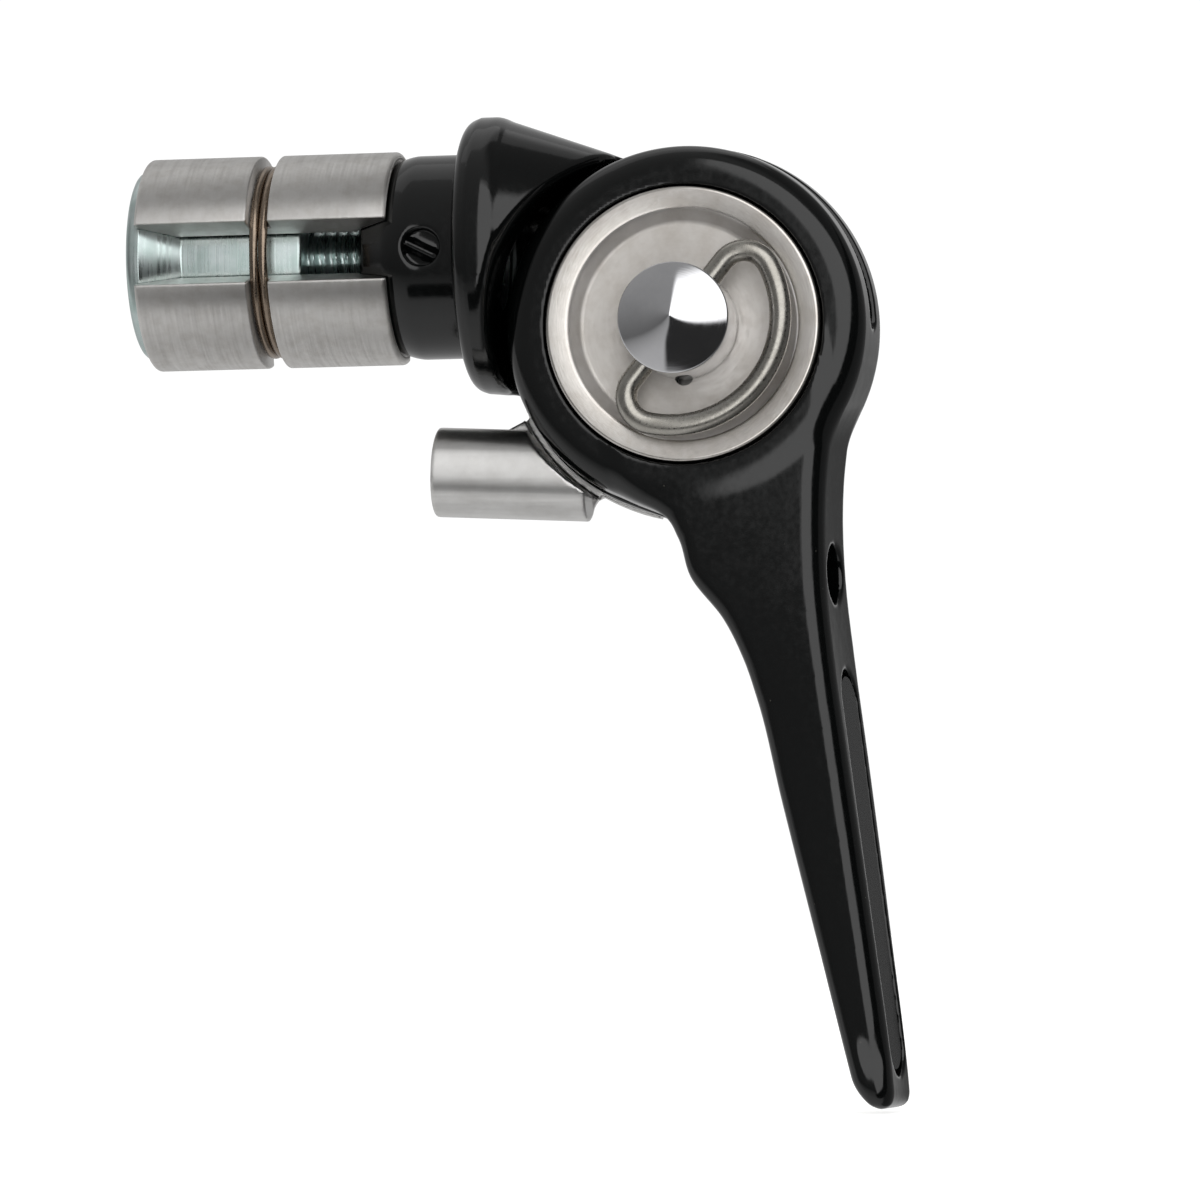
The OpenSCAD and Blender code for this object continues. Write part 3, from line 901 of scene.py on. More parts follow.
# Bright turned steel, hidden inside the hub.
PLAIN_STEEL = Finish(
    "steel_turned", "plain_steel", "#a9a8a5", "#8d8a85", roughness=0.3, grain=Grain.TURNED_ON_PIVOT, mark_mm=0.25,
)
# Sintered bronze bushing: brown and slightly oily.
BRONZE = Finish("bronze_sintered", "bronze", "#9c6f3f", "#6d4a28", roughness=0.42, mark_mm=0.2)
# Filled nylon friction washer: dull and dark.
FRICTION_POLYMER = Finish(
    "friction_polymer_moulded", "friction_polymer", "#1d1e20", "#2a2b2d", metallic=0.0, roughness=0.55,
)
# Moulded rubber: dark with a soft bloom.
SEAL_RUBBER = Finish("rubber_moulded", "seal_rubber", "#121212", "#232323", metallic=0.0, roughness=0.6)
# White nylon, moulded.
WHITE_NYLON = Finish("nylon_moulded", "washer_nylon", "#dcdad2", "#c8c5bb", metallic=0.0, roughness=0.45)


def stand_for(piece: bpy.types.Object, body: str, finish: Finish, *nodes: str) -> None:
    """Gives a piece its finish, puts it on its body and hides the CAD nodes that it stands for.

    Args:
        piece: the piece, already in place.
        body: the CAD body that it moves with.
        finish: its finish.
        *nodes: the CAD nodes that it replaces.
    """
    piece.data.materials.clear()
    piece.data.materials.append(finish.material())
    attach(piece, body)
    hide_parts(*nodes)
    LOG.info("%s: %d faces on %s", piece.name, len(piece.data.polygons), body)


def dress(node: str, finish: Finish) -> None:
    """Gives a CAD node that stays on show its finish.

    Args:
        node: the CAD node.
        finish: its finish.
    """
    shown = frame["nodes"][node]
    shown.data.materials.clear()
    shown.data.materials.append(finish.material())
    LOG.info("%s keeps its CAD mesh", node)


# ------------------------------------------------------------------ expander plug


@dataclass
class ExpanderPlug:
    """The plug that grips the inside of the bar: nut, three segments, spring, bolt and washer.

    Attributes:
        outer_r: radius of the closed segments.
        x0: the segments' left end.
        x1: the segments' right end.
        bore_r: radius of the segments' bore.
        flare_r: radius of the flared mouths.
        cone_deg: half angle of the cones.
        span_deg: the angle of one segment.
        front_slot_deg: the width of the slot that faces the front.
        groove_x: middle of the spring groove.
        groove_w: width of the spring groove.
        groove_r: radius of the groove's floor.
        wire_r: radius of the spring's wire.
        nut_x0: left end of the nut.
        nut_x1: right end of the nut.
        nut_rim_r: radius of the nut's rim.
        nut_stem_r: radius of the nut's stem.
        bolt_r: outer radius of the thread.
        pitch: pitch of the thread.
        hex_w: the socket's width across flats.
        hex_deep: the socket's depth.
    """

    outer_r: float = 9.25
    x0: float = -28.1
    x1: float = -6.1
    bore_r: float = 6.2
    flare_r: float = 8.5
    cone_deg: float = 36.0
    span_deg: float = 91.0
    front_slot_deg: float = 33.0
    groove_x: float = -17.3
    groove_w: float = 1.9
    groove_r: float = 7.55
    wire_r: float = 0.4
    nut_x0: float = -29.0
    nut_x1: float = -14.0
    nut_rim_r: float = 8.2
    nut_stem_r: float = 5.85
    bolt_r: float = 3.0
    pitch: float = 1.0
    hex_w: float = 5.0
    hex_deep: float = 3.0

    def build(self) -> None:
        """Builds and dresses every piece of the plug."""
        self.nut()
        slot = (360 - 3 * self.span_deg - self.front_slot_deg) / 2
        starts = [-180 + self.front_slot_deg / 2 + i * (self.span_deg + slot) for i in range(3)]
        for number, start in enumerate(starts, 1):
            self.segment(number, math.radians(start))
            self.spring(number, math.radians(start + self.span_deg / 2))
        self.bolt()
        dress("bolt_washer", ZINC_STEEL)

    def nut(self) -> None:
        """The coned nut, with its round rim and long stem."""
        slope = math.tan(math.radians(self.cone_deg))
        foot = self.x0 + (self.flare_r - 0.1 - self.nut_rim_r) / slope
        top = self.x0 + (self.flare_r - 0.1 - self.nut_stem_r) / slope
        outline = rounded(
            [
                (self.bolt_r + 0.05, self.nut_x0, 0.2), (self.nut_rim_r, self.nut_x0, 0.5),
                (self.nut_rim_r, foot, 0.12), (self.nut_stem_r, top, 0.3), (self.nut_stem_r, self.nut_x1, 0.35),
                (self.bolt_r + 0.05, self.nut_x1, 0.2),
            ],
            closed=True,
        )
        piece = lathe("expander_nut_turned", Turn.PLUG, outline, 160)
        stand_for(piece, "expander_nut", ZINC_STEEL, "expander_nut")

    def segment(self, number: int, start: float) -> None:
        """One third of the sleeve, with broken edges all round.

        Args:
            number: which segment, from 1.
            start: the angle of its first slot wall in radians.
        """
        flare = (self.flare_r - self.bore_r) / math.tan(math.radians(self.cone_deg))
        half = self.groove_w / 2
        outline = rounded(
            [
                (self.flare_r, self.x0, 0.12), (self.outer_r, self.x0, 0.35),
                (self.outer_r, self.groove_x - half, 0.14), (self.groove_r, self.groove_x - half, 0.12),
                (self.groove_r, self.groove_x + half, 0.12), (self.outer_r, self.groove_x + half, 0.14),
                (self.outer_r, self.x1, 0.35), (self.flare_r, self.x1, 0.12),
                (self.bore_r, self.x1 - flare, 0.3), (self.bore_r, self.x0 + flare, 0.3),
            ],
            closed=True,
            steps=4,
        )
        steps = 64
        angle = start + np.arange(steps + 1) / steps * math.radians(self.span_deg)
        rows = len(outline)
        points = Turn.PLUG.place(outline[:, :1] + 0 * angle, outline[:, 1:] + 0 * angle, 0 * outline[:, :1] + angle)
        faces: list[list[int]] = []
        for i in range(rows):
            j = (i + 1) % rows
            for k in range(steps):
                faces.append([i * (steps + 1) + k, i * (steps + 1) + k + 1, j * (steps + 1) + k + 1,
                              j * (steps + 1) + k])
        faces.append([i * (steps + 1) for i in range(rows)])
        faces.append([i * (steps + 1) + steps for i in range(rows)][::-1])
        piece = mesh_object(f"expander_segment_{number}_turned", points.reshape(-1, 3), faces)
        face_outwards(piece)
        work = bmesh.new()
        work.from_mesh(piece.data)
        walls = [f for f in work.faces if len(f.verts) > 4]
        edges = list({e for f in walls for e in f.edges})
        bmesh.ops.bevel(
            work, geom=edges, offset=0.1 * MM, segments=2, profile=0.5, affect="EDGES", clamp_overlap=True
        )
        for face in work.faces:
            face.smooth = len(face.verts) <= 4
        work.to_mesh(piece.data)
        work.free()
        stand_for(piece, f"segment_{number}", TURNED_ALUMINIUM, f"expander_segment_{number}")

    def spring(self, number: int, middle: float) -> None:
        """One segment's share of the two-turn spring; its ends lap over its neighbours' ends.

        Args:
            number: which segment, from 1.
            middle: the angle of the segment's middle in radians.
        """
        reach = math.radians(72)
        angle = np.linspace(middle - reach, middle + reach, 97)
        radius = self.groove_r + 0.05 + self.wire_r
        ends = np.minimum(1, np.abs(np.abs(angle - middle) - reach) / math.radians(24))
        wire = self.wire_r * (0.9 + 0.1 * ends)
        turns = []
        for side in (-1, 1):
            path = Turn.PLUG.place(0 * angle + radius, 0 * angle + self.groove_x + side * self.wire_r, angle)
            turns.append(sweep("turn", path, wire, 20))
        piece = join(f"retaining_spring_{number}_wire", turns)
        stand_for(piece, f"segment_{number}", SPRING_WIRE, "retaining_spring")

    def bolt(self) -> None:
        """The M6 screw with its rolled thread and hexagon socket."""
        end, run_out, seat, head_r, head_x = -24.0, -6.5, -3.5, 5.0, 2.5
        thread_x = np.arange(end + 0.9, run_out, self.pitch / 14)
        outline = np.concatenate(
            [
                [[0, end], [self.bolt_r - 0.8, end], [self.bolt_r - 0.1, end + 0.7]],
                np.stack([0 * thread_x + self.bolt_r, thread_x], axis=1),
                rounded(
                    [(self.bolt_r, run_out, 0), (self.bolt_r, seat, 0.15), (head_r, seat, 0.2),
                     (head_r, head_x, 0.5), (0, head_x, 0)]
                ),
            ]
        )

        thread = rolled_thread(self.pitch, 0.56, end + 0.8, run_out, (0.6, 0.8))
        piece = lathe("expander_bolt_threaded", Turn.PLUG, outline, 96, thread)
        corner = self.hex_w / 2 / math.cos(math.radians(30))
        turn = np.radians(np.arange(6) * 60)
        ends = [np.stack([0 * turn + x, corner * np.cos(turn), corner * np.sin(turn)], axis=1)
                for x in (head_x - self.hex_deep, head_x + 1)]
        cut(piece, prism("hexagon", *ends))
        stand_for(piece, "expander_bolt", ZINC_STEEL, "expander_bolt")


# ------------------------------------------------------------------ pod


@dataclass
class PodCasting(Field):
    """The painted body: neck, shoulder flange, and the arm behind the hub with its deep scoop.

    Attributes:
        neck_r: radius of the neck.
        flange_r: radius of the shoulder flange.
        flange_t: thickness of the flange.
        arm_r: radius of the arm's round corners.
        arm_rise: how far the upper corner stands above the pivot.
        arm_y: the arm's front and back faces.
        scoop_r: radius of the scoop about the pivot.
        scoop_edge: how far the scoop's edge is rounded.
        blend: how sharply the hull's planes run into each other, per millimetre.
        dimple_x: place of the dimple in the neck.
        dimple_r: its radius.
        dimple_deep: its depth.
    """

    neck_r: float = 8.84
    flange_r: float = 11.9
    flange_t: float = 3.5
    arm_r: float = 8.0
    arm_rise: float = 4.9
    arm_y: tuple[float, float] = (1.2, 9.5)
    scoop_r: float = 16.8
    scoop_edge: float = 0.9
    blend: float = 20.0
    dimple_x: float = -3.0
    dimple_r: float = 1.6
    dimple_deep: float = 1.2
    low: tuple[float, float, float] = (-9.6, -12.6, -20.6)
    high: tuple[float, float, float] = (33.0, 12.6, 12.6)
    cell: float = 0.24
    planes: Array = field(init=False)

    def __post_init__(self) -> None:
        """Finds the planes that wrap the flange and the arm."""
        turn = np.radians(np.arange(0, 360, 4))
        rings = [Turn.PLUG.place(0 * turn + self.flange_r - 0.15 - e, 0 * turn + x, turn)
                 for x, e in ((1.5, 0.0), (self.flange_t, 0.0))]
        edge = 2.0
        for a in np.radians([0, 22.5, 45, 67.5, 90]):
            r, y = self.arm_r - edge * (1 - math.cos(a)), self.arm_y[1] - edge * (1 - math.sin(a))
            rings.append(Turn.PIVOT.place(0 * turn + r, 0 * turn + y, turn))
        rings.append(Turn.PIVOT.place(0 * turn + self.arm_r, 0 * turn + self.arm_y[0], turn))
        rings += [ring + (0, 0, self.arm_rise) for ring in rings[2:]]
        work = bmesh.new()
        for point in np.concatenate(rings):
            work.verts.new(point)
        bmesh.ops.convex_hull(work, input=work.verts, use_existing_faces=False)
        work.normal_update()
        sound = [f for f in work.faces if f.calc_area() > 1e-5]
        rows = {tuple(np.round([*f.normal, f.normal @ f.verts[0].co], 3)) for f in sound}
        work.free()
        self.planes = np.array(sorted(rows), np.float32)

    def wrap(self, x: Array, y: Array, z: Array) -> Array:
        """The distance to the hull round flange and arm.

        Args:
            x: the points' X.
            y: the points' Y.
            z: the points' Z.

        Returns:
            Distances, below zero inside.
        """
        flat = np.stack([x.ravel(), y.ravel(), z.ravel()], axis=1).astype(np.float32)
        out = np.empty(len(flat), np.float32)
        for i in range(0, len(flat), 60000):
            gap = flat[i : i + 60000] @ self.planes[:, :3].T - self.planes[:, 3]
            most = gap.max(axis=1)
            near = np.abs(most) < 1
            close = np.exp(self.blend * (gap[near] - most[near, None])).sum(axis=1)
            most[near] += np.log(close) / self.blend
            out[i : i + 60000] = most
        return out.reshape(x.shape).astype(float)

    def distance(self, x: Array, y: Array, z: Array) -> Array:
        """The signed distance of the casting.

        Args:
            x: the points' X.
            y: the points' Y.
            z: the points' Z.

        Returns:
            Distances, below zero inside.
        """
        plug_r = np.hypot(y, z)
        pivot_r = np.hypot(x - PIVOT[0], z - PIVOT[2])
        slope = math.radians(36)
        cone = (plug_r - 6.44) * math.cos(slope) - (x + 8.8) * math.sin(slope)
        neck = round_and(np.maximum(plug_r - self.neck_r, x - 2), cone, 0.8)
        neck = round_and(neck, -8.8 - x, 0.3)
        flange = round_and(plug_r - self.flange_r, -x, 1.3)
        flange = round_and(flange, x - self.flange_t, 1.0)
        body = round_or(round_and(self.wrap(x, y, z), 0.35 - x, 1.0), flange, 0.6)
        body = np.minimum(body, neck)
        scoop = round_and(pivot_r - self.scoop_r, y - self.arm_y[0], 0.8)
        body = round_less(body, scoop, self.scoop_edge)
        body = round_less(body, pivot_r - 5.02, 0.15)
        body = round_less(body, np.maximum(plug_r - 5.3, -4.5 - x), 0.3)
        body = np.maximum(body, 3.15 - plug_r)
        off = x - self.dimple_x
        ridge = 0.8 * np.exp(-((0.45 * off + 0.9 * z + 0.2) ** 2) / 0.22)
        dimple = np.maximum(np.hypot(off, z) - self.dimple_r, y + self.neck_r - self.dimple_deep + ridge)
        return round_less(body, dimple, 0.35)

    def build(self) -> None:
        """Meshes and paints the pod."""
        stand_for(self.mesh("pod_cast"), "pod", BLACK_ENAMEL, "pod_body")


# ------------------------------------------------------------------ lever


def outline_distance(u: Array, v: Array, corners: Sequence[tuple[float, float]]) -> Array:
    """The signed distance to a flat outline.

    Args:
        u: first coordinates of the points.
        v: second coordinates of the points.
        corners: the outline's corners in order.

    Returns:
        Distances, below zero inside.
    """
    best = np.full(u.shape, 1e9)
    inside = np.zeros(u.shape, bool)
    for (au, av), (bu, bv) in zip(corners, [*corners[1:], corners[0]]):
        eu, ev = bu - au, bv - av
        t = np.clip(((u - au) * eu + (v - av) * ev) / (eu * eu + ev * ev), 0, 1)
        best = np.minimum(best, (u - au - t * eu) ** 2 + (v - av - t * ev) ** 2)
        crosses = (av > v) != (bv > v)
        inside ^= crosses & (u < au + (v - av) * eu / (ev if ev else 1e-9))
    return np.where(inside, -1, 1) * np.sqrt(best)


def sector(angle: Array, radius: Array, start_deg: float, sweep_deg: float) -> Array:
    """How far points lie outside a sector, along the arc.

    Args:
        angle: the points' angles in radians.
        radius: the points' radii.
        start_deg: where the sector starts.
        sweep_deg: the sector's angle.

    Returns:
        Distances, below zero inside.
    """
    half = math.radians(sweep_deg) / 2
    middle = math.radians(start_deg) + half
    off = np.abs((angle - middle + math.pi) % (2 * math.pi) - math.pi)
    return (off - half) * radius


@dataclass
class LeverForging(Field):
    """The painted lever: hub, finger, cable groove, side hole and the inlay's recess.

    Attributes:
        front_r: the hub's radius at the front.
        back_r: the hub's radius at the back.
        hub_y: the hub's front and back faces.
        front_edge: radius of the hub's front edge.
        tip_z: the end of the finger.
        draft_deg: how far the outer side leans back.
        left: the finger's left edge, as (z, x).
        right: the finger's right edge at its back, as (z, x).
        back: the finger's back face, as (z, y).
        front: the finger's front face, as (z, y).
        hole_z: height of the side hole.
        inlay_z: height of the inlay's middle.
        inlay_len: length of the inlay.
        inlay_w: width of the inlay.
    """

    front_r: float = 15.2
    back_r: float = 16.0
    hub_y: tuple[float, float] = (-9.3, -1.0)
    front_edge: float = 2.0
    tip_z: float = -74.1
    draft_deg: float = 9.0
    left: tuple[tuple[float, float], ...] = (
        (-4, 19), (-18, 13), (-21.9, 15.2), (-23.6, 17.8), (-25.3, 18.8), (-28.8, 19.9), (-32.2, 22.5),
        (-35.7, 24.2), (-39.1, 25.3), (-47.6, 27.2), (-61.2, 30.4), (-71.3, 32.8), (-74.1, 33.5),
    )
    right: tuple[tuple[float, float], ...] = (
        (-4, 32), (-10, 33.2), (-13.6, 33.3), (-17, 32.9), (-20.4, 32.5), (-28.9, 32.4), (-35.8, 33),
        (-44.3, 34), (-57.9, 35.6), (-71.4, 37.1), (-74.1, 37.3),
    )
    back: tuple[tuple[float, float], ...] = ((-4, -1), (-24, -1), (-34, 0.4), (-74.1, 0.2))
    front: tuple[tuple[float, float], ...] = ((-4, -9.3), (-30, -9.3), (-55, -8.3), (-74.1, -8.1))
    hole_z: float = -28.5
    inlay_z: float = -53.8
    inlay_len: float = 33.5
    inlay_w: float = 4.8
    low: tuple[float, float, float] = (3.0, -9.9, -74.7)
    high: tuple[float, float, float] = (38.0, 1.1, 9.4)
    cell: float = 0.22

    def __post_init__(self) -> None:
        """Smooths the finger's edges."""
        self.curves = {n: smooth_curve(getattr(self, n)) for n in ("left", "right", "back", "front")}

    def edge(self, name: str, z: Array) -> tuple[Array, Array]:
        """One of the finger's edges.

        Args:
            name: left, right, back or front.
            z: heights.

        Returns:
            The edge's place at each height, and the cosine of its slope there.
        """
        at, value = self.curves[name]
        slope = np.gradient(value, at)
        return np.interp(z, at, value), 1 / np.sqrt(1 + np.interp(z, at, slope) ** 2)

    def side_frame(self, x: Array, y: Array, z: Array, middle_z: float) -> tuple[Array, Array, Array]:
        """Coordinates on the leaning outer side.

        Args:
            x: the points' X.
            y: the points' Y.
            z: the points' Z.
            middle_z: the height that the coordinates start from.

        Returns:
            Distance out of the side, distance across it towards the back, and distance up it.
        """
        lean = math.atan((self.edge("right", middle_z - 15)[0] - self.edge("right", middle_z + 15)[0]) / 30)
        front, back = self.edge("front", middle_z)[0], self.edge("back", middle_z)[0]
        mid_y = (front + back) / 2 + 0.3
        draft = math.radians(self.draft_deg)
        start = (float(self.edge("right", middle_z)[0] - (back - mid_y) * math.tan(draft)), mid_y, middle_z)
        turn = Matrix.Rotation(-lean, 3, "Y") @ Matrix.Rotation(-draft, 3, "Z")
        back_turn = np.array(turn.transposed())
        px, py, pz = x - start[0], y - start[1], z - start[2]
        return tuple(row[0] * px + row[1] * py + row[2] * pz for row in back_turn)

    def finger(self, x: Array, y: Array, z: Array) -> Array:
        """The distance of the finger alone.

        Args:
            x: the points' X.
            y: the points' Y.
            z: the points' Z.

        Returns:
            Distances, below zero inside.
        """
        x0, c0 = self.edge("left", z)
        x1, c1 = self.edge("right", z)
        y0, y1 = self.edge("front", z)[0], self.edge("back", z)[0]
        across = np.clip((x - x0) / np.maximum(x1 - x0, 1), 0, 1)
        lean = math.tan(math.radians(self.draft_deg)) * (y1 - y) * across
        y0 = y0 + 0.35 * np.clip((-20 - z) / 20, 0, 1) * (1 - across) ** 2
        hollow = 0.35 * np.exp(-(((z + 69.4) / 1.7) ** 2) - ((across - 0.52) / 0.2) ** 2)
        y0 = y0 + hollow
        left, right = (x0 - x) * c0, (x - x1 + lean) * c1
        side = round_and(left, y0 - y, 1.2)
        other = round_and(right, y0 - y, 1.7)
        body = np.maximum(side, other)
        body = round_and(body, y - y1, 1.0)
        tip = -(z - self.tip_z) - 0.28 * (x - 35.4)
        return round_and(round_and(body, tip * 0.96, 2.2), self.tip_z - z, 0.9)

    def distance(self, x: Array, y: Array, z: Array) -> Array:
        """The signed distance of the forging.

        Args:
            x: the points' X.
            y: the points' Y.
            z: the points' Z.

        Returns:
            Distances, below zero inside.
        """
        r, a = np.hypot(x - PIVOT[0], z - PIVOT[2]), np.arctan2(z - PIVOT[2], x - PIVOT[0])
        drafted = self.front_r + (y - self.hub_y[0]) / (self.hub_y[1] - self.hub_y[0]) * (self.back_r - self.front_r)
        hub = round_and(r - drafted, self.hub_y[0] - y, self.front_edge)
        hub = round_and(hub, y - self.hub_y[1], 0.5)
        finger = np.maximum(self.finger(x, y, z), z + 6)
        body = round_or(hub, finger, 0.9)
        bore = round_less(body, np.maximum(r - 11.9, y + 7.2), 0.12)
        bore = np.maximum(bore, -np.maximum(r - 9.5, y + 4.7))
        bore = np.maximum(bore, 6.52 - r)
        bore = round_less(bore, np.maximum(r - 10, -1.7 - y), 0.2)
        slab = np.abs(y + 4.2) - 1.1
        front_slot = round_and(np.maximum(slab, 12 - r), sector(a, r, -1, 80), 1.0)
        rear_slot = np.maximum(np.maximum(slab, 12 - r), sector(a, r, -203.5, 110))
        tunnel = np.maximum(np.maximum(slab, 12 - r), np.maximum(r - 14.4, sector(a, r, -95, 96)))
        for slot in (front_slot, rear_slot, tunnel):
            bore = round_less(bore, slot, 0.22)
        away = math.radians(80)
        along, across = r * np.cos(a - away), r * np.sin(a - away)
        pocket = np.maximum(np.maximum(12.2 - along, np.abs(across) - 3), np.abs(y + 4.2) - 2.3)
        bore = round_less(bore, pocket, 0.22)
        track = np.maximum(np.abs(r - 12.9) - 1.1, -2.6 - y)
        bore = round_less(bore, np.maximum(track, sector(a, r, 200 - 115.3, 120.6)), 0.15)
        out, over, up = self.side_frame(x, y, z, self.hole_z)
        bore = round_less(bore, np.maximum(np.hypot(over, up) - 2.5, -4.5 - out), 0.35)
        out, over, up = self.side_frame(x, y, z, self.inlay_z)
        reach = (self.inlay_len + 1.2) / 2 - self.inlay_w / 2 - 0.15
        strip = np.hypot(over, np.maximum(np.abs(up) - reach, 0)) - self.inlay_w / 2 - 0.15
        return round_less(bore, np.maximum(strip, -0.9 - out), 0.22)

    def build(self) -> None:
        """Meshes and paints the lever."""
        stand_for(self.mesh("lever_forged"), "lever", BLACK_ENAMEL, "lever")
        dress("lever_inlay", ANODISED_PLATE)
        dress("hub_bushing", BRONZE)


# ------------------------------------------------------------------ cable stop


@dataclass
class CableStop(Field):
    """The plate behind the hub and the barrel for the end of the cable housing.

    Attributes:
        barrel_r: the barrel's radius.
        left: the barrel's left end, on its axis.
        right_x: the barrel's right end.
        tilt_deg: how far the barrel tilts.
        saddle_r: radius of the cut that clears the hub.
        plate_r: radius of the plate.
        lobe_r: radius of the plate's wider part.
        web: the outline, as (x, z), of the web between barrel and plate.
    """

    barrel_r: float = 3.85
    left: tuple[float, float, float] = (-2.5, -4.2, -19.0)
    right_x: float = 10.8
    tilt_deg: float = 3.0
    saddle_r: float = 16.5
    plate_r: float = 14.6
    lobe_r: float = 16.2
    web: tuple[tuple[float, float], ...] = (
        (7.4, -9.9), (6, -13), (4.6, -14.6), (3, -15.4), (3, -19), (10.6, -21.5), (12.4, -20.6), (14, -22.1),
        (19, -12),
    )
    low: tuple[float, float, float] = (-3.2, -8.6, -24.3)
    high: tuple[float, float, float] = (35.0, 1.8, 8.0)
    cell: float = 0.2

    def distance(self, x: Array, y: Array, z: Array) -> Array:
        """The signed distance of the cable stop.

        Args:
            x: the points' X.
            y: the points' Y.
            z: the points' Z.

        Returns:
            Distances, below zero inside.
        """
        r, a = np.hypot(x - PIVOT[0], z - PIVOT[2]), np.arctan2(z - PIVOT[2], x - PIVOT[0])
        plate_y = np.maximum(-0.8 - y, y - 1.2)
        plate = np.maximum(r - self.plate_r, np.abs(y - 0.2) - 1.0)
        lobe = np.maximum(np.maximum(r - self.lobe_r, sector(a, r, -162, 60)), np.maximum(plate_y, 12 - r))
        tilt = math.radians(self.tilt_deg)
        px, py, pz = x - self.left[0], y - self.left[1], z - self.left[2]
        along = px * math.cos(tilt) - pz * math.sin(tilt)
        up = px * math.sin(tilt) + pz * math.cos(tilt)
        off = np.hypot(py, up)
        length = (self.right_x - self.left[0]) / math.cos(tilt)
        barrel = round_and(off - self.barrel_r, -along, 0.3)
        barrel = round_and(barrel, along - length, 0.15)
        web = round_and(outline_distance(x, z, self.web), np.maximum(-2 - y, y - 1.2), 0.3)
        body = round_or(barrel, web, 0.9)
        saddle = np.maximum(r - self.saddle_r, y + 0.8)
        body = round_less(body, saddle, 0.12)
        body = np.minimum(body, np.minimum(plate, lobe))
        body = round_less(body, np.maximum(off - 2.6, along - 8), 0.25)
        body = np.maximum(body, -np.maximum(off - 1.0, along - 20))
        square = np.maximum(np.abs(x - PIVOT[0]), np.abs(z - PIVOT[2])) - 6.02
        return round_less(body, square, 0.1)

    def build(self) -> None:
        """Meshes and dresses the cable stop and its pin."""
        stand_for(self.mesh("cable_stop_machined"), "pod", POLISHED_ALUMINIUM, "cable_stop")
        dress("range_stop_pin", PLAIN_STEEL)


# ------------------------------------------------------------------ pivot fittings


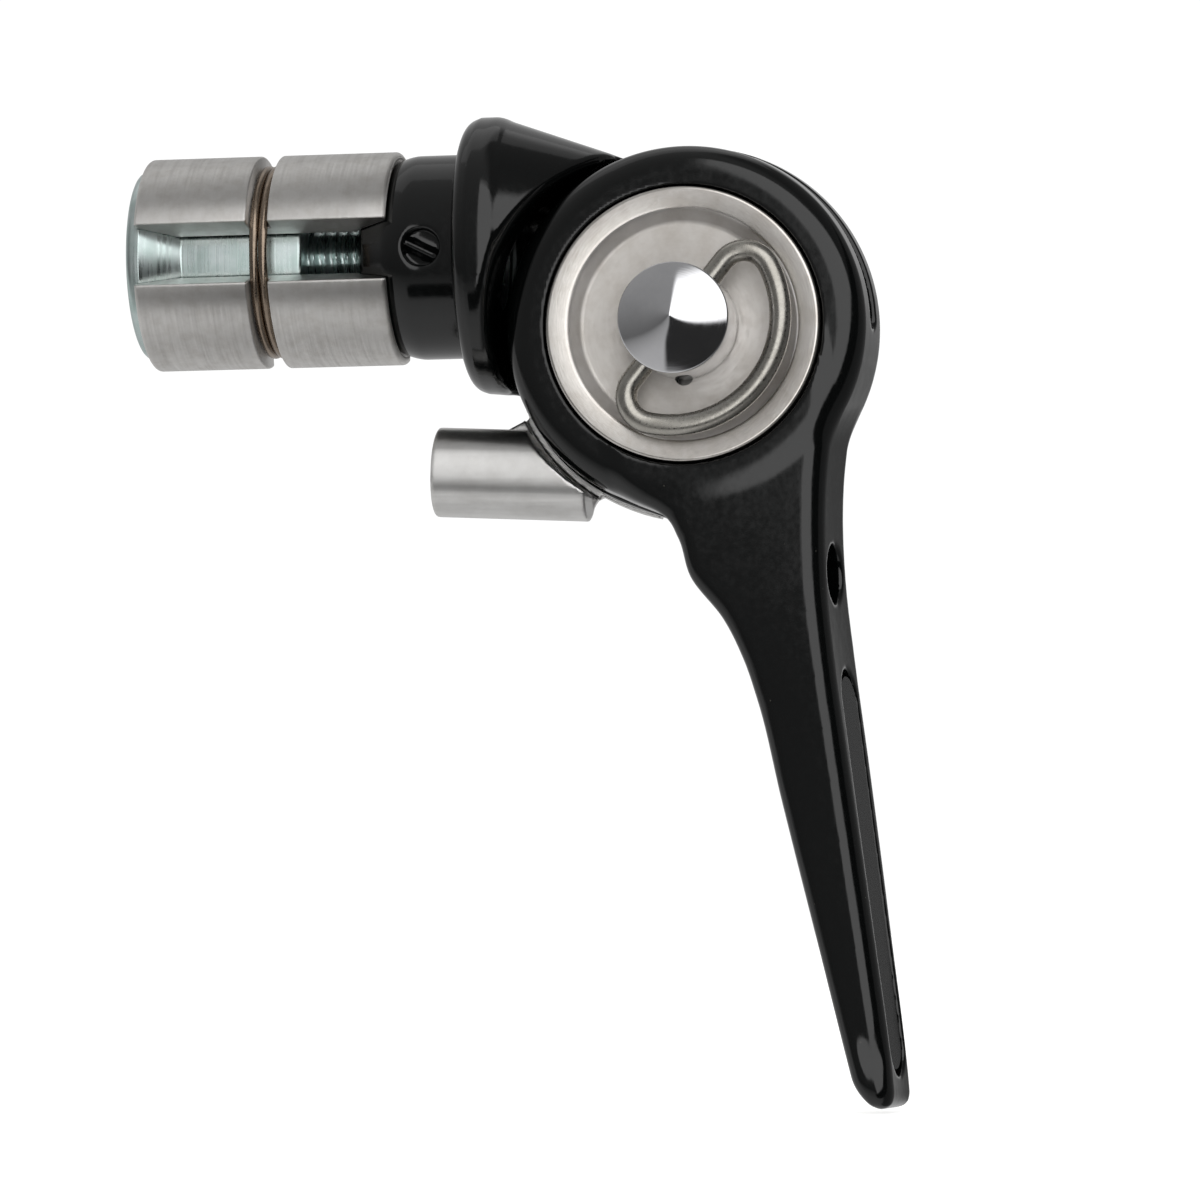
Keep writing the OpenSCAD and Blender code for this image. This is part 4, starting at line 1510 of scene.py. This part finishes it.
@dataclass
class PivotFittings:
    """What holds the lever on its boss: cap, tension screw, D-ring and the washers behind them.

    Attributes:
        cap_r: radius of the cover cap.
        rim_y: the front of the cap's rim.
        flat_y: the cap's sunk flat.
        head_r: radius of the screw's head.
        apex_y: the tip of the head's cone.
        cone_y: the foot of the head's cone.
        wire_r: radius of the D-ring's wire.
        ring_r: radius of the D-ring's arc.
        bend_r: radius of the D-ring's bends.
        bend_x: distance from the pivot to the middle of each bend.
        ring_y: the D-ring's hinge line.
        ring_deg: the angle of the hinge line.
        notch_w: width of the cap's key notch.
        notch_deep: how far the notch reaches from the pivot.
    """

    cap_r: float = 11.7
    rim_y: float = -9.76
    flat_y: float = -8.7
    head_r: float = 4.7
    apex_y: float = -17.3
    cone_y: float = -15.0
    wire_r: float = 0.925
    ring_r: float = 9.2
    bend_r: float = 2.27
    bend_x: float = 6.3
    ring_y: float = -12.2
    ring_deg: float = 51.3
    notch_w: float = 1.6
    notch_deep: float = 5.2

    def build(self) -> None:
        """Builds and dresses every fitting."""
        self.cap()
        self.screw()
        self.d_ring()
        dress("pivot_boss", PLAIN_STEEL)
        dress("rear_friction_washer", FRICTION_POLYMER)
        dress("front_friction_washer", FRICTION_POLYMER)
        dress("pressure_plate", PLAIN_STEEL)
        dress("coned_washer_inner", PLAIN_STEEL)
        dress("coned_washer_outer", PLAIN_STEEL)
        dress("seal_ring", SEAL_RUBBER)
        dress("screw_washer", WHITE_NYLON)

    def cap(self) -> None:
        """The dished cap, with its key notch."""
        under = self.flat_y + 0.8
        outline = rounded(
            [
                (2.8, self.flat_y + 0.4, 0.0), (3.8, self.flat_y + 0.4, 0.08), (3.8, self.flat_y, 0.1),
                (8.75, self.flat_y, 0.7), (9.85, self.rim_y + 0.12, 0.7), (self.cap_r, self.rim_y, 0.28),
                (self.cap_r, -8.0, 0.15), (self.cap_r - 0.8, -8.0, 0.15),
                (self.cap_r - 0.8, self.rim_y + 0.8, 0.2),
                (10.0, self.rim_y + 0.9, 0.3), (8.8, under, 0.3), (2.8, under, 0.0),
            ],
            closed=True,
            steps=9,
        )
        piece = lathe("cover_cap_pressed", Turn.PIVOT, outline, 192)
        low, high = self.flat_y - 2, self.flat_y + 2
        half = self.notch_w / 2
        turn = np.linspace(0, math.pi, 17)
        u = np.concatenate([[-half, half], half * np.cos(turn)])
        v = np.concatenate([[0, 0], half - self.notch_deep - half * np.sin(turn)])
        ends = [np.stack([PIVOT[0] + u, 0 * u + y, PIVOT[2] + v], axis=1) for y in (low, high)]
        cut(piece, prism("notch", *ends), 30)
        stand_for(piece, "pod", FROSTED_STAINLESS, "cover_cap")

    def screw(self) -> None:
        """The tension screw: a sharp cone on a drum that is cross-drilled for the ring."""
        thread_y = np.arange(-6.6, 3.4, 0.8 / 12)
        outline = np.concatenate(
            [
                [[0, self.apex_y]],
                rounded(
                    [(0.12, self.apex_y + 0.03, 0), (self.head_r, self.cone_y - 0.1, 0.22),
                     (self.head_r, self.flat_y, 0.3), (2.5, self.flat_y, 0.1), (2.5, -6.7, 0)]
                ),
                np.stack([0 * thread_y + 2.5, thread_y], axis=1),
                [[2.0, 4.0], [0, 4.0]],
            ]
        )
        thread = rolled_thread(0.8, 0.42, -6.6, 3.4, (0.6, 0.6))
        piece = lathe("pivot_screw_turned", Turn.PIVOT, outline, 160, thread)
        hinge = math.radians(self.ring_deg)
        way = np.array([math.cos(hinge), 0, math.sin(hinge)])
        middle = np.array([PIVOT[0], self.ring_y, PIVOT[2]])
        path = np.stack([middle - 8 * way, middle, middle + 8 * way])
        cut(piece, sweep("cross_hole", path, np.full(3, self.wire_r + 0.06), 48), 20)
        stand_for(piece, "pivot_screw", CHROMED_STEEL, "pivot_screw")

    def d_ring(self) -> None:
        """The D-ring: straight ends in the head, two bends and the wide arc."""
        arc_y = math.sqrt((self.ring_r - self.bend_r) ** 2 - self.bend_x**2) - self.bend_r
        meet = math.atan2(self.bend_r + arc_y, self.bend_x)
        flat: list[tuple[float, float]] = [(1.2, 0.0), (2.6, 0.0), (4.2, 0.0)]
        for a in np.linspace(math.pi / 2, -meet, 16):
            flat.append((self.bend_x + self.bend_r * math.cos(a), self.bend_r * (math.sin(a) - 1)))
        for a in np.linspace(-meet, meet - math.pi, 70)[1:-1]:
            flat.append((self.ring_r * math.cos(a), arc_y + self.ring_r * math.sin(a)))
        for a in np.linspace(math.pi + meet, math.pi / 2, 16):
            flat.append((-self.bend_x + self.bend_r * math.cos(a), self.bend_r * (math.sin(a) - 1)))
        flat += [(-4.2, 0.0), (-2.6, 0.0), (-1.2, 0.0)]
        hinge = math.radians(self.ring_deg)
        u, v = np.array(flat).T
        x = PIVOT[0] + u * math.cos(hinge) - v * math.sin(hinge)
        z = PIVOT[2] + u * math.sin(hinge) + v * math.cos(hinge)
        path = np.stack([x, 0 * x + self.ring_y, z], axis=1)
        piece = sweep("d_ring_wire", path, np.full(len(path), self.wire_r), 28)
        stand_for(piece, "d_ring", STAINLESS_WIRE, "d_ring")


# ------------------------------------------------------------------ studio


@dataclass
class Studio:
    """The floor, the lights and the camera.

    Attributes:
        aim: the point in millimetres that the camera looks at.
        azimuth_deg: how far the camera stands to the right of the front.
        elevation_deg: how far it stands above the point.
        roll_deg: how far it is rolled.
        distance_mm: how far it stands from the point.
        lens_mm: its focal length.
        room_light: the room's light by angle about X, where 0 is the front and 90 is up.
        window_edges: the window's edges, each a plane's normal and its softness.
        window_light: the window's light.
        shade_edges: the edges of the dark patch under the camera.
        shade_light: the light that is left there.
        corner_edges: the edges of the dim corner at the right behind the object.
        corner_light: the light that is left there.
    """

    aim: tuple[float, float, float] = (10.8, 0.0, -30.05)
    azimuth_deg: float = 8.9
    elevation_deg: float = -3.0
    roll_deg: float = 0.7
    distance_mm: float = 500.0
    lens_mm: float = 174.0
    room_light: tuple[tuple[float, float], ...] = (
        (-180, 0.60), (-120, 0.60), (-78, 0.72), (-60, 0.66), (-44, 0.50), (-31, 0.30), (-24, 0.15), (20, 0.15),
        (48, 0.30), (66, 0.46), (92, 0.36), (123, 0.50), (157, 0.72), (180, 0.60),
    )
    window_edges: tuple[tuple[float, ...], ...] = (
        (-0.42, -0.47, 0.78, 0.07), (0.99, -0.09, -0.01, 0.05), (0.0, -0.85, -0.53, 0.06), (-0.37, -0.93, 0.0, 0.08),
    )
    window_light: float = 1.75
    shade_edges: tuple[tuple[float, ...], ...] = (
        (0.92, -0.40, 0.0, 0.05), (0.42, 0.47, -0.78, 0.04), (0.0, -0.79, 0.62, 0.05),
    )
    shade_light: float = 0.03
    corner_edges: tuple[tuple[float, ...], ...] = ((0.95, -0.30, 0.0, 0.10), (0.60, 0.80, 0.0, 0.20))
    corner_light: float = 0.16

    def build(self) -> None:
        """Sets up everything that isn't part of the object."""
        bpy.context.scene.view_settings.view_transform = "Standard"
        self.camera()
        self.floor()
        self.world()
        self.lights()

    def camera(self) -> None:
        """Puts the camera where it sees the front."""
        az, el, roll = (math.radians(v) for v in (self.azimuth_deg, self.elevation_deg, self.roll_deg))
        back = Vector((math.sin(az) * math.cos(el), -math.cos(az) * math.cos(el), math.sin(el)))
        level = Vector((math.cos(az), math.sin(az), 0.0))
        over = back.cross(level)
        right = level * math.cos(roll) - over * math.sin(roll)
        up = level * math.sin(roll) + over * math.cos(roll)
        data = bpy.data.cameras.new("front_camera")
        data.lens, data.sensor_width, data.clip_start = self.lens_mm, 36.0, 0.01
        camera = bpy.data.objects.new("front_camera", data)
        turn = Matrix((right, up, back)).transposed().to_4x4()
        camera.matrix_world = Matrix.Translation(Vector(self.aim) * MM + back * self.distance_mm * MM) @ turn
        bpy.context.scene.collection.objects.link(camera)
        bpy.context.scene.camera = camera

    def floor(self) -> None:
        """A wide pale floor under the finger's tip."""
        z = CAD_BOX[0][2] / MM - 0.05
        size = 2500.0
        corners = np.array([(-size, -size, z), (size, -size, z), (size, size, z), (-size, size, z)])
        floor = mesh_object("floor", corners, [[0, 1, 2, 3]])
        card = Finish(
            "card_matt_white", "", "#f4f4f3", "#efefee", patch_mm=40.0, patch_amount=0.3, metallic=0.0,
            roughness=0.9, rough_spread=0.05, mark_mm=2.0, mark_depth_mm=0.01, glow=0.85,
        )
        floor.data.materials.append(card.material())
        floor.visible_glossy = False

    def world(self) -> None:
        """A room with one wide window at the front right, a dim front left and a pale wall behind the object."""
        world = bpy.data.worlds.new("studio_room")
        bpy.context.scene.world = world
        world.use_nodes = True
        tree = world.node_tree
        tree.nodes.clear()
        way = add(tree, "ShaderNodeTexCoord").outputs["Generated"]
        corner = self.patch(tree, way, self.corner_edges)
        room = add(
            tree, "ShaderNodeMix", {0: corner, 2: self.around(tree, way), 3: self.corner_light}, data_type="FLOAT"
        ).outputs[0]
        window = self.patch(tree, way, self.window_edges)
        lit = add(tree, "ShaderNodeMix", {0: window, 2: room, 3: self.window_light}, data_type="FLOAT").outputs[0]
        shade = self.patch(tree, way, self.shade_edges)
        seen = add(tree, "ShaderNodeMix", {0: shade, 2: lit, 3: self.shade_light}, data_type="FLOAT").outputs[0]
        path = add(tree, "ShaderNodeLightPath").outputs["Is Camera Ray"]
        strength = add(tree, "ShaderNodeMix", {0: path, 2: seen, 3: 1.05}, data_type="FLOAT").outputs[0]
        air = add(tree, "ShaderNodeBackground", {"Color": linear("#ffffff"), "Strength": strength})
        add(tree, "ShaderNodeOutputWorld", {"Surface": air.outputs[0]})

    def around(self, tree: bpy.types.NodeTree, way: Socket) -> Socket:
        """The room's light by angle about X: from the back, under the object, through the front and over it.

        Args:
            tree: the world's node tree.
            way: the direction of a ray.

        Returns:
            The light from that direction.
        """
        parts = add(tree, "ShaderNodeSeparateXYZ", {0: way}).outputs
        front = add(tree, "ShaderNodeMath", {0: parts[1], 1: -1.0}, operation="MULTIPLY").outputs[0]
        turn = add(tree, "ShaderNodeMath", {0: parts[2], 1: front}, operation="ARCTAN2").outputs[0]
        share = add(tree, "ShaderNodeMapRange", {0: turn, 1: -math.pi, 2: math.pi, 3: 0.0, 4: 1.0}).outputs[0]
        ramp = add(tree, "ShaderNodeValToRGB", {0: share})
        stops = ramp.color_ramp.elements
        for number, (degrees, light) in enumerate(self.room_light):
            stop = stops[number] if number < 2 else stops.new(0.5)
            stop.position = degrees / 360 + 0.5
            stop.color = (light, light, light, 1.0)
        return ramp.outputs[0]

    def patch(self, tree: bpy.types.NodeTree, way: Socket, edges: Sequence[tuple[float, ...]]) -> Socket:
        """A patch of the room between straight edges.

        Args:
            tree: the world's node tree.
            way: the direction of a ray.
            edges: a plane for each edge, as three parts of its normal and how soft it is.

        Returns:
            1 inside the patch and 0 outside it.
        """
        inside: Socket | None = None
        for x, y, z, soft in edges:
            height = add(tree, "ShaderNodeVectorMath", {0: way, 1: (x, y, z)}, operation="DOT_PRODUCT")
            step = add(
                tree,
                "ShaderNodeMapRange",
                {0: height.outputs["Value"], 1: -soft, 2: soft, 3: 0.0, 4: 1.0},
                interpolation_type="SMOOTHSTEP",
            ).outputs[0]
            if inside is None:
                inside = step
            else:
                inside = add(tree, "ShaderNodeMath", {0: inside, 1: step}, operation="MULTIPLY").outputs[0]
        return inside

    def lights(self) -> None:
        """One soft box over the object, for the shape of the upper edges."""
        place, size, power = (-0.15, 0.25, 0.75), (0.9, 0.4), 0.3
        data = bpy.data.lights.new("top_box", "AREA")
        data.shape, data.size, data.size_y, data.energy = "RECTANGLE", size[0], size[1], power
        light = bpy.data.objects.new("top_box", data)
        light.location = place
        light.rotation_euler = (Vector((0.01, 0, -0.03)) - Vector(place)).to_track_quat("-Z", "Y").to_euler()
        bpy.context.scene.collection.objects.link(light)


def main() -> None:
    """Builds the lever and its studio."""
    logging.basicConfig(level=logging.INFO, format="%(name)s: %(message)s")
    ExpanderPlug().build()
    PodCasting().build()
    LeverForging().build()
    CableStop().build()
    PivotFittings().build()
    Studio().build()


if __name__ == "__main__":
    main()
